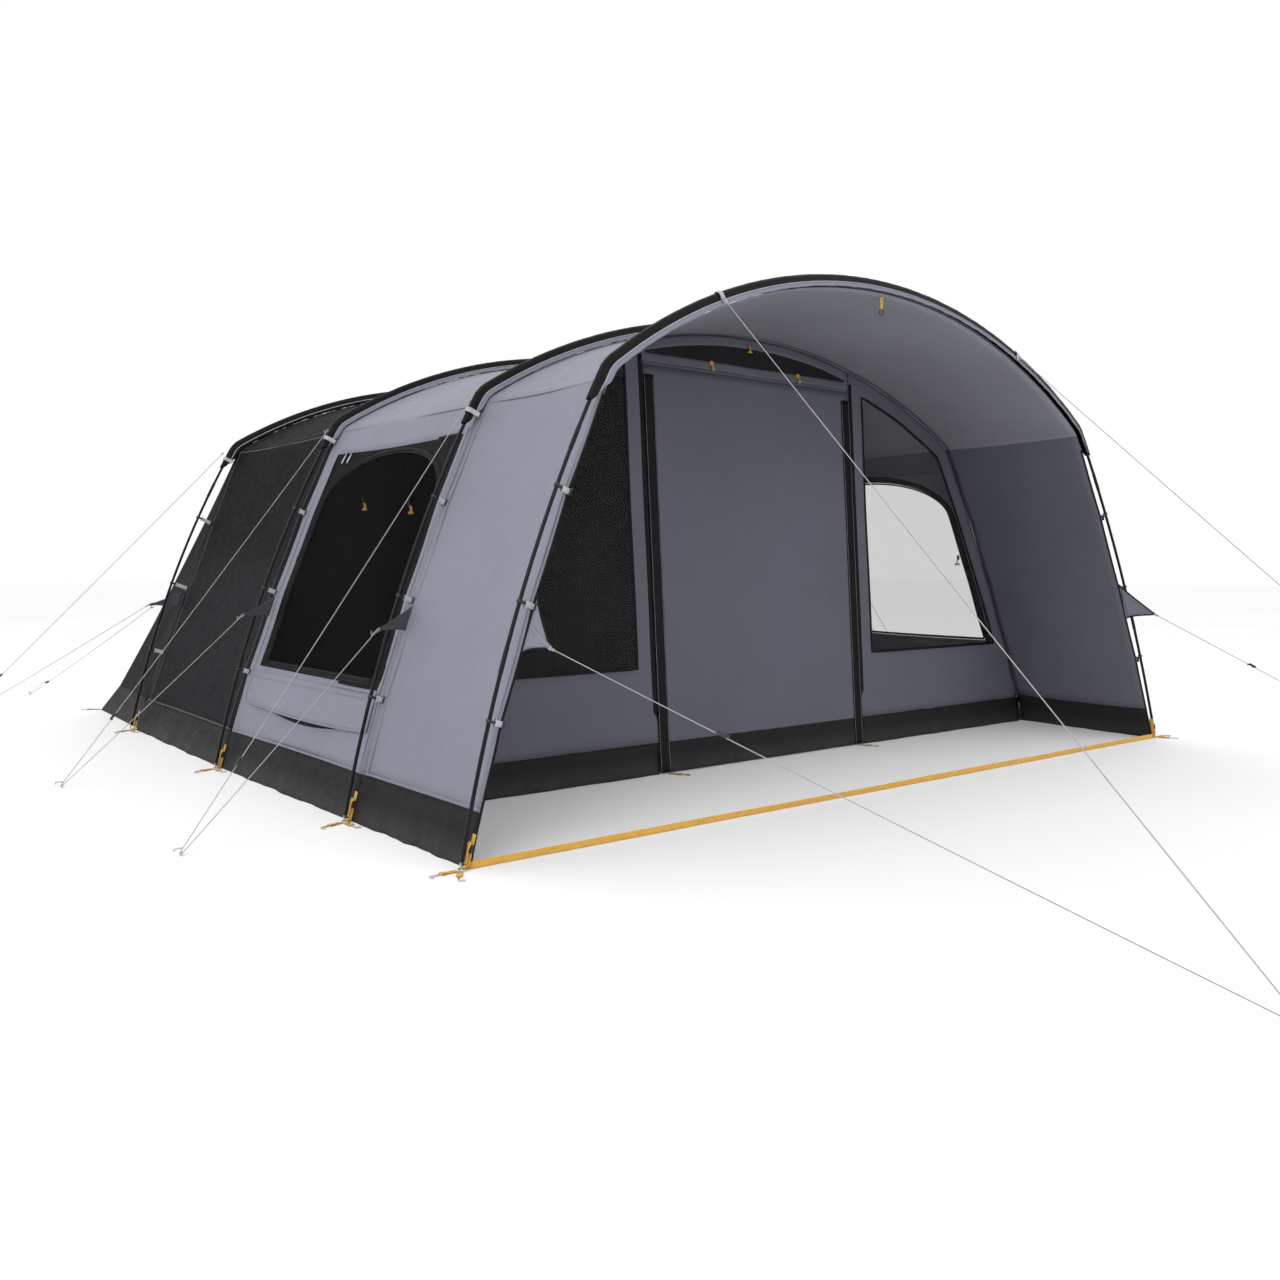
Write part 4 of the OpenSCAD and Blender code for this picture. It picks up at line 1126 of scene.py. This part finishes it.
def toggles():
    """Yellow toggles over the door, for holding it rolled up, on patches sewn to the header."""
    b, sewn, g = Build(), Build(), Build()
    z0 = DOOR_Z + 38
    for x in (-250, 290):
        for e in (-1, 1):
            ear = bend([wall(x + e * across, z0 - down, off) for across, down, off in
                        ((5, 2, 6), (4, 6, 11), (2, 13, 12))])
            b.sweep(frames_of(ear, NORMAL), ring(0.0016, 6))
        r = [0.0028, 0.0044, 0.0052, 0.0046, 0.0052, 0.0044, 0.0028]
        ys = spread(-11, -29, 6)
        rows = [[wall(x, z0 + y, 12) + k * (cos(a) * np.array([1, 0, 0]) + sin(a) * unit(NORMAL))
                 for a in spread(0, 2 * math.pi, 10)[:-1]] for y, k in zip(ys, r)]
        base = len(b.v)
        b.grid(rows, close=True)
        b.f += [tuple(base + j for j in range(10))[::-1], tuple(base + 60 + j for j in range(10))]
        b.m += [0, 0]
        patch = [wall(x, z0 + q, 3.0) for q in spread(-4, 16, 5)]
        sewn.sweep(frames_of(patch, NORMAL), strap(0.018, 0.0016))
    b.obj("door_toggle_pair", [YELLOW], "door_toggles", "door_toggles", "strap_yellow")
    sewn.obj("door_toggle_patches", [YELLOW], "tent", slot="strap_yellow")
    h = HOOPS[1]
    p = wall(-20, h.line(2, h.inset(2))[1] - 38, 4)
    path = bend([p, p + np.array([0.002, -0.008, -0.012]), p + np.array([0.001, -0.006, -0.030])])
    g.sweep(frames_of(path, NORMAL), strap(0.007, 0.0016))
    bar = [path[-1] + np.array([x, 0, 0]) for x in spread(-0.012, 0.012, 6)]
    g.sweep(frames_of(bar, NORMAL), ring(0.0035, 8))
    g.obj("vent_toggle", [YELLOW], "tent", slot="strap_yellow")


toggles()

# ---------------------------------------------------------------- hardware of cloth and webbing
FOOT_S = [(i, s) for i in range(4) for s in (-1, 1)]
PATCH_V, PATCH_OFF = 0.46, [-4, -26, -26, 26]
PATCH_HALF = [(0.05, 0.06), (0.03, 0.03), (0.03, 0.03), (0.03, 0.03)]      # down and up the leg, in v
CLIP_V = (0.27, 0.5, 0.74)


def guy_patches():
    """Triangular reinforcements on the legs, with a webbing spine and a ring for the rope."""
    b = Build()
    for i in range(4):
        h = HOOPS[i]
        d, off, (down, up) = -2 if i == 0 else -4, PATCH_OFF[i], PATCH_HALF[i]
        low = h.put(h.line(PATCH_V - down, h.inset(PATCH_V) + d), off)
        top = h.put(h.line(PATCH_V + up, h.inset(PATCH_V) + d), off)
        tie = moved(ROPE_PTS[i][3]) * MM
        tip = tie + unit((low + top) / 2 - tie) * 0.005
        n = unit(np.cross(top - low, tip - low))
        for s in (1, -1):
            rows = []
            for t in spread(0, 1, 10):
                pull = 1 - 0.10 * sin(math.pi * t)                  # edges pull in towards the tip
                row = []
                for q in spread(-1, 1, 8):
                    e = low + (top - low) * (0.5 + 0.5 * q * pull)
                    p = e + (tip - e) * t * 0.97
                    p = p + n * 0.0035 * sin(math.pi * t) * cos(q * 1.4)
                    row.append(sided(p, s))
                rows.append(row)
            b.grid(rows, mat=3 if i == 0 else 0)
            mid = (low + top) / 2
            line = [mid + (tip - mid) * t + n * (0.0036 * sin(math.pi * t) + 0.0016)
                    for t in spread(0.15, 1.0, 8)]
            b.sweep(frames_of([sided(p, s) for p in line], sided(n, s)),
                    strap(0.014, 0.0014), mat=3 if i == 0 else 1)
            if i == 0:
                for edge in (0, -1):                               # its piping follows the fly's
                    b.sweep(frames_of([r[edge] for r in rows], sided(n, s)),
                            ring(0.003, 6), mat=4)
            loop = [tip + 0.006 * (cos(a) * unit(tip - mid) + sin(a) * unit(top - low)) for a in
                    spread(0, 2 * math.pi, 16)]
            b.sweep(frames_of([sided(p, s) for p in loop], sided(n, s)),
                    ring(0.0013, 6), mat=2)
    o = b.obj("guy_patch_set", [PATCH, SEAM_DARK, STEEL, GREY, ZIP], "tent", "guy_patches", "patch_grey",
              thick=0.0012, inward=0)


def clip_tapes():
    """Short tapes from the cloth to each pole clip, each with its sewn base."""
    b = Build()
    for i in range(4):
        h = HOOPS[i]
        for v in CLIP_V:
            deep = h.inset(v)
            t3 = h.put(h.line(v + 0.01, 0)) - h.put(h.line(v - 0.01, 0))
            for s in (1, -1):
                def at(r, off=0.0):
                    p = h.put(h.line(v, -r), off)
                    return sided(p, s)
                along = unit(sided(t3, s))
                for off in (-1.2, 1.2):
                    path = bend([at(2 - deep, off * 2), at(-deep * 0.62, off * 1.6), at(-21, off * 0.4)])
                    b.sweep(frames_of(path, (0, 1, 0)), strap(0.019, 0.0012))
                turn = [at(-21, 0) + (at(0, 0) - at(-21, 0)) * 0.12]
                b.sweep(frames_of([turn[0] - along * 0.0115, turn[0] + along * 0.0115], (0, 1, 0)),
                        ring(0.0017, 6), mat=2)
                skin = [at(3.0 - deep, y) for y in spread(-16, 16, 6)]
                b.sweep(frames_of(skin, at(10) - at(0)), strap(0.026, 0.0012), mat=1)
    b.obj("clip_tape_set", [TAPE, SEAM_DARK, PLASTIC], "tent", "clip_tapes", "tape_grey")


def guy_loops():
    """Webbing loops round the sleeves at the shoulders, sewn down to the skirts."""
    b = Build()
    for i in range(4):
        h = HOOPS[i]
        v = h.arch_v(890) if i == 0 else 0.965
        c = [(-30, 24), (-20, 21), (-8, 17.5), (2, 16.5), (10, 13.5), (15.5, 6.5), (16.8, 0)]
        c = c + [(r, -y) for r, y in c[-2::-1]]
        for s in (1, -1):
            p = [h.put(h.line(v, -r), y) for r, y in c]
            core = h.put(h.line(v, 8))
            up = [q - core for q in p]
            if s < 0:
                p, up = [mirrored(q) for q in p], [mirrored(q) for q in up]
            b.sweep(frames_of(bend(p, 3), [up[min(k // 3, len(up) - 1)] for k in range(3 * len(p) - 2)]),
                    strap(0.019, 0.0014))
    b.obj("guy_loop_set", [TAPE], "tent", "guy_loops", "tape_grey")


def foot_webbing():
    """Yellow webbing from each foot ring up through its buckle to the flap, with a free tail."""
    b = Build()
    for i, s in FOOT_S:
        x, y = s * FOOT_X[i], HOOP_Y[i]
        tilt = rad(14)
        along, out = np.array([-s * sin(tilt), 0, cos(tilt)]), np.array([s * cos(tilt), 0, sin(tilt)])
        o = np.array([x - s * 22, y, 2.5]) * MM
        path = [o + along * z * MM + out * q * MM for z, q in
                ((0, 1), (24, 1.2), (44, 0.6), (58, 1.4), (74, 0.6), (88, 0), (101, -0.4))]
        b.sweep(frames_of(bend(path, 3), out), strap(0.02, 0.0015))
        tail = [o + along * z * MM + out * q * MM + np.array([0, t, 0]) * MM for z, q, t in
                ((66, 3.4, 0), (74, 6, 0), (70, 10, 1), (52, 12.5, 3), (30, 11, 2), (14, 12.5, 4))]
        b.sweep(frames_of(bend(tail, 3), out), strap(0.02, 0.0014))
        hoop = [np.array([x - s * 22, y, 2.5]) * MM + np.array([s * (q), 0, z]) * MM for q, z in
                ((1, 8), (3, 2), (7, -1.6), (12, 1.5), (11.5, 5.5), (5, 10))]
        b.sweep(frames_of(bend(hoop, 3), (0, 0, 1)), strap(0.0185, 0.0013))
    b.obj("foot_webbing_set", [YELLOW], "tent", "foot_webbing", "strap_yellow")


LOOP_TURN = [(-58, -6), (-88, -22), (-88, -22), (-88, -30)]
LOOP_LEN = 66


def loop_strap(b, place, start, end, width=0.019):
    """A webbing loop folded round its peg: out along the ground, round, and back on top."""
    side = place(0, 1, 0) - place(0, 0, 0)
    low = [(start, 1.0), ((start + end) / 2, 0.9), (end - 8, 1.0), (end, 1.6), (end + 3.6, 4.0), (end, 6.6),
           (end - 12, 5.0), ((start + end) / 2, 3.2), (start, 2.6)]
    path = bend([place(x, 0, z) for x, z in low], 3)
    ups = []
    for k in range(len(path)):
        t = unit(path[min(k + 1, len(path) - 1)] - path[max(k - 1, 0)])
        ups.append(np.cross(t, unit(side)))
    b.sweep(frames_of(path, ups), strap(width, 0.0013))
    b.sweep(frames_of([place(x, 0, 4.4) for x in spread(start + 16, start + 20, 2)], (0, 0, 1)),
            strap(width * 0.86, 0.001), mat=1)


def peg_loops():
    b = Build()

    def frame_at(x, y, degrees, s=1):
        a = rad(degrees)

        def place(u, w, z):
            p = np.array([u * cos(a) - w * sin(a), u * sin(a) + w * cos(a), z])
            return np.array([x + s * p[0], y + p[1], p[2]]) * MM
        return place
    for i, s in FOOT_S:
        for a in LOOP_TURN[i]:
            loop_strap(b, frame_at(s * FOOT_X[i], HOOP_Y[i], a, s), 14, LOOP_LEN)
    for x in (-2040, -1000, 0, 1000, 2040):
        y = REAR_HEM[1] if abs(x) > 1500 else REAR_Y - 24 * abs(x) / 1000
        loop_strap(b, frame_at(x, y, (30 if x > 0 else 150) if abs(x) > 1500 else 90), 4, 73)
    for s in (-1, 1):
        loop_strap(b, frame_at(s * 600, HOOP_Y[1] - 4, -62), 4, 63)
    b.obj("peg_loop_set", [YELLOW, STITCH], "tent", "peg_loops", "strap_yellow")


def front_strap():
    """The yellow strap along the porch front, on its edge, with a slight wave between the feet."""
    b = Build()
    end = FOOT_X[0] - 29
    path, ups = [], []
    for x in spread(-end, end, 160):
        loose = 1 - (x / end) ** 2
        y = Y_FRONT - 3 + loose * (1.6 * sin(x / 230.0) + 0.8 * sin(x / 90.0))
        path.append(np.array([x, y, 11.8]) * MM)
        ups.append(np.array([0, -1, 0.22 * loose * sin(x / 310.0)]))
    b.sweep(frames_of(path, ups), strap(0.0215, 0.0018))
    b.obj("front_strap_webbing", [YELLOW], "tent", "front_strap", "strap_yellow")


HOOK = (10, Y_FRONT + 170, 1948)


def lantern_hook():
    b = Build()
    x, y, z = HOOK

    def at(p, q, r):
        return np.array([x + p, y + q, z + r]) * MM
    path = bend([at(0, 0, 2), at(0, 1.2, -12), at(0, -0.8, -30), at(0, 0, -46)])
    b.sweep(frames_of(path, (0, -1, 0)), strap(0.016, 0.0018))
    b.sweep(frames_of([at(q, 0, 0.5) for q in spread(-11, 11, 5)], (0, 0, 1)), ring(0.0026, 8))
    loop = [at(12 * sin(a), 0, -57 + 12 * cos(a)) for a in spread(0, 2 * math.pi, 28)]
    b.sweep(frames_of(loop, (0, 1, 0)), ring(0.002, 8), mat=1)
    b.obj("lantern_hook_webbing", [YELLOW, PLASTIC], "lantern_hook", "lantern_hook", "strap_yellow")


guy_patches()
clip_tapes()
guy_loops()
foot_webbing()
peg_loops()
front_strap()
lantern_hook()


# ---------------------------------------------------------------- inside
def groundsheet():
    x0, y0, y1 = 1925.0, HOOP_Y[1] + 20, HOOP_Y[3] + 660
    b = Build()
    rows = []
    for y in spread(y0, y1, 60):
        rows.append([np.array([x, y, 3 + 2.2 * abs(sin(x / 310 + y / 700) * sin(y / 260 - x / 900))
                               + 1.2 * abs(sin(x / 97 + y / 140))]) * MM for x in spread(-x0, x0, 70)])
    b.grid(rows)
    o = b.obj("groundsheet_cloth", [GROUND], "tent", "groundsheet", "groundsheet_grey", thick=0.0012)


INNER_D, INNER_U = 95.0, (0.06, 0.96)


def inner_tent():
    """The bedroom hangs inside its bay: a canopy, a front wall with two doors, a rear wall, a floor."""
    vs = [v for v in OVER_V if 0.12 < v < 3.88]
    b = Build()
    b.grid([[fly(2, u, v, INNER_D + 6 * sin(9 * v) * sin(math.pi * u)) for u in spread(*INNER_U, 14)]
            for v in vs])
    o = b.obj("inner_canopy", [INNER], "tent", "inner_tent", "inner_dark", thick=0.001)
    girth(2, 0.12, 3.88) - 0.3

    length = HOOP_Y[3] - HOOP_Y[2]
    for i, shift, deeper, name in ((2, INNER_U[0] * length, 5, "inner_front"),
                                   (3, (INNER_U[1] - 1) * length, 6, "inner_back")):
        h, d = HOOPS[i], INNER_D + deeper
        end = h.line(0.05, h.inset(0.05) + d)[0]
        loop = [np.array([end, 14.0])] + [h.line(v, h.inset(v) + d) for v in vs]
        loop += [np.array([x, 14.0]) for x in spread(-end, end, 60)[:-1]]

        def place(x, z):
            return h.put(np.array([x, z]), shift + 4 * sin(x / 110.0) * min(1, (1900 - z) / 1500)
                         + 2 * sin(z / 140.0 + x / 400))
        b = Build()
        if i == 3:
            fill_loop(b, loop, 14, place)
        else:
            # two door openings, wide D shapes, each with a rolled flap beside it
            for s in (1, -1):
                half = [p for p in loop if s * p[0] >= -1e-6]
                half.sort(key=lambda p: math.atan2(p[1] - 700, s * p[0] - 755))
                inner = []
                for p in half:
                    a = math.atan2(p[1] - 700, s * p[0] - 755)
                    rx, rz, k = 495.0, 575.0 if sin(a) < 0 else 650.0, 3.0
                    r = (abs(cos(a) / rx) ** k + abs(sin(a) / rz) ** k) ** (-1 / k)
                    inner.append(np.array([s * (755 + r * cos(a)), 775 + r * sin(a)]))
                between_loops(b, half, inner, 6, place)
                mid = [place(s * (250 + 6 * sin(z / 90)), z) + np.array([0, -0.012, 0])
                       for z in spread(210, 1330, 24)]
                roll = [(0.018 * cos(a) * (1 + 0.12 * sin(3 * a)), 0.014 * sin(a)) for a in
                        spread(0, 2 * math.pi, 12)[:-1]]
                b.sweep(frames_of(mid, (0, 1, 0)), roll)
        o = b.obj(name, [INNER], "tent", slot="inner_dark")
    b = Build()
    b.grid([[np.array([x, y, 9 + 3 * abs(sin(x / 280 + y / 350))]) * MM for x in spread(-1830, 1830, 50)]
            for y in spread(HOOP_Y[2] + 80, HOOP_Y[2] + 80 + 1270, 24)])
    o = b.obj("inner_floor", [GROUND], "tent", slot="inner_dark", thick=0.001)


groundsheet()
inner_tent()


# ---------------------------------------------------------------- floor and light
def studio():
    """A plain pale floor and soft light from above, the left and behind the camera."""
    size = 40.0
    me = bpy.data.meshes.new("floor")
    corners = [(-size, -size), (size, -size), (size, size), (-size, size)]
    me.from_pydata([(x, y, -0.001) for x, y in corners], [], [(0, 1, 2, 3)])
    floor = bpy.data.objects.new("floor", me)
    bpy.context.scene.collection.objects.link(floor)
    m, t, p = node_material("floor")
    c = t.nodes.new("ShaderNodeTexCoord").outputs["Object"]
    t.links.new(ramp(t, noise(t, c, 0.6, 3.0), [(0.3, (0.86, 0.86, 0.86)), (0.7, (0.89, 0.89, 0.89))]),
                p.inputs["Base Color"])
    p.inputs["Roughness"].default_value = 0.9
    p.inputs["Emission Color"].default_value = (1, 1, 1, 1)
    p.inputs["Emission Strength"].default_value = 0.08
    me.materials.append(m)
    world = bpy.data.worlds.new("studio")
    world.use_nodes = True
    world.node_tree.nodes["Background"].inputs["Color"].default_value = (1, 1, 1, 1)
    world.node_tree.nodes["Background"].inputs["Strength"].default_value = 1.0
    bpy.context.scene.world = world
    for name, at, aim, power, wide in (("key", (-7, -5, 6.5), (0, 0, 0.8), 170, 5.0),
                                       ("top", (0, 0.5, 8.0), (0, 0, 0), 90, 7.0),
                                       ("fill", (4, -9, 4.0), (0, 0, 1.0), 20, 5.0)):
        data = bpy.data.lights.new(name, "AREA")
        data.energy, data.size = power, wide
        light = bpy.data.objects.new(name, data)
        light.location = at
        light.rotation_mode = "QUATERNION"
        light.rotation_quaternion = (Vector(aim) - Vector(at)).to_track_quat("-Z", "Y")
        bpy.context.scene.collection.objects.link(light)
    bpy.context.scene.view_settings.view_transform = "Standard"


studio()
bpy.context.view_layer.update()
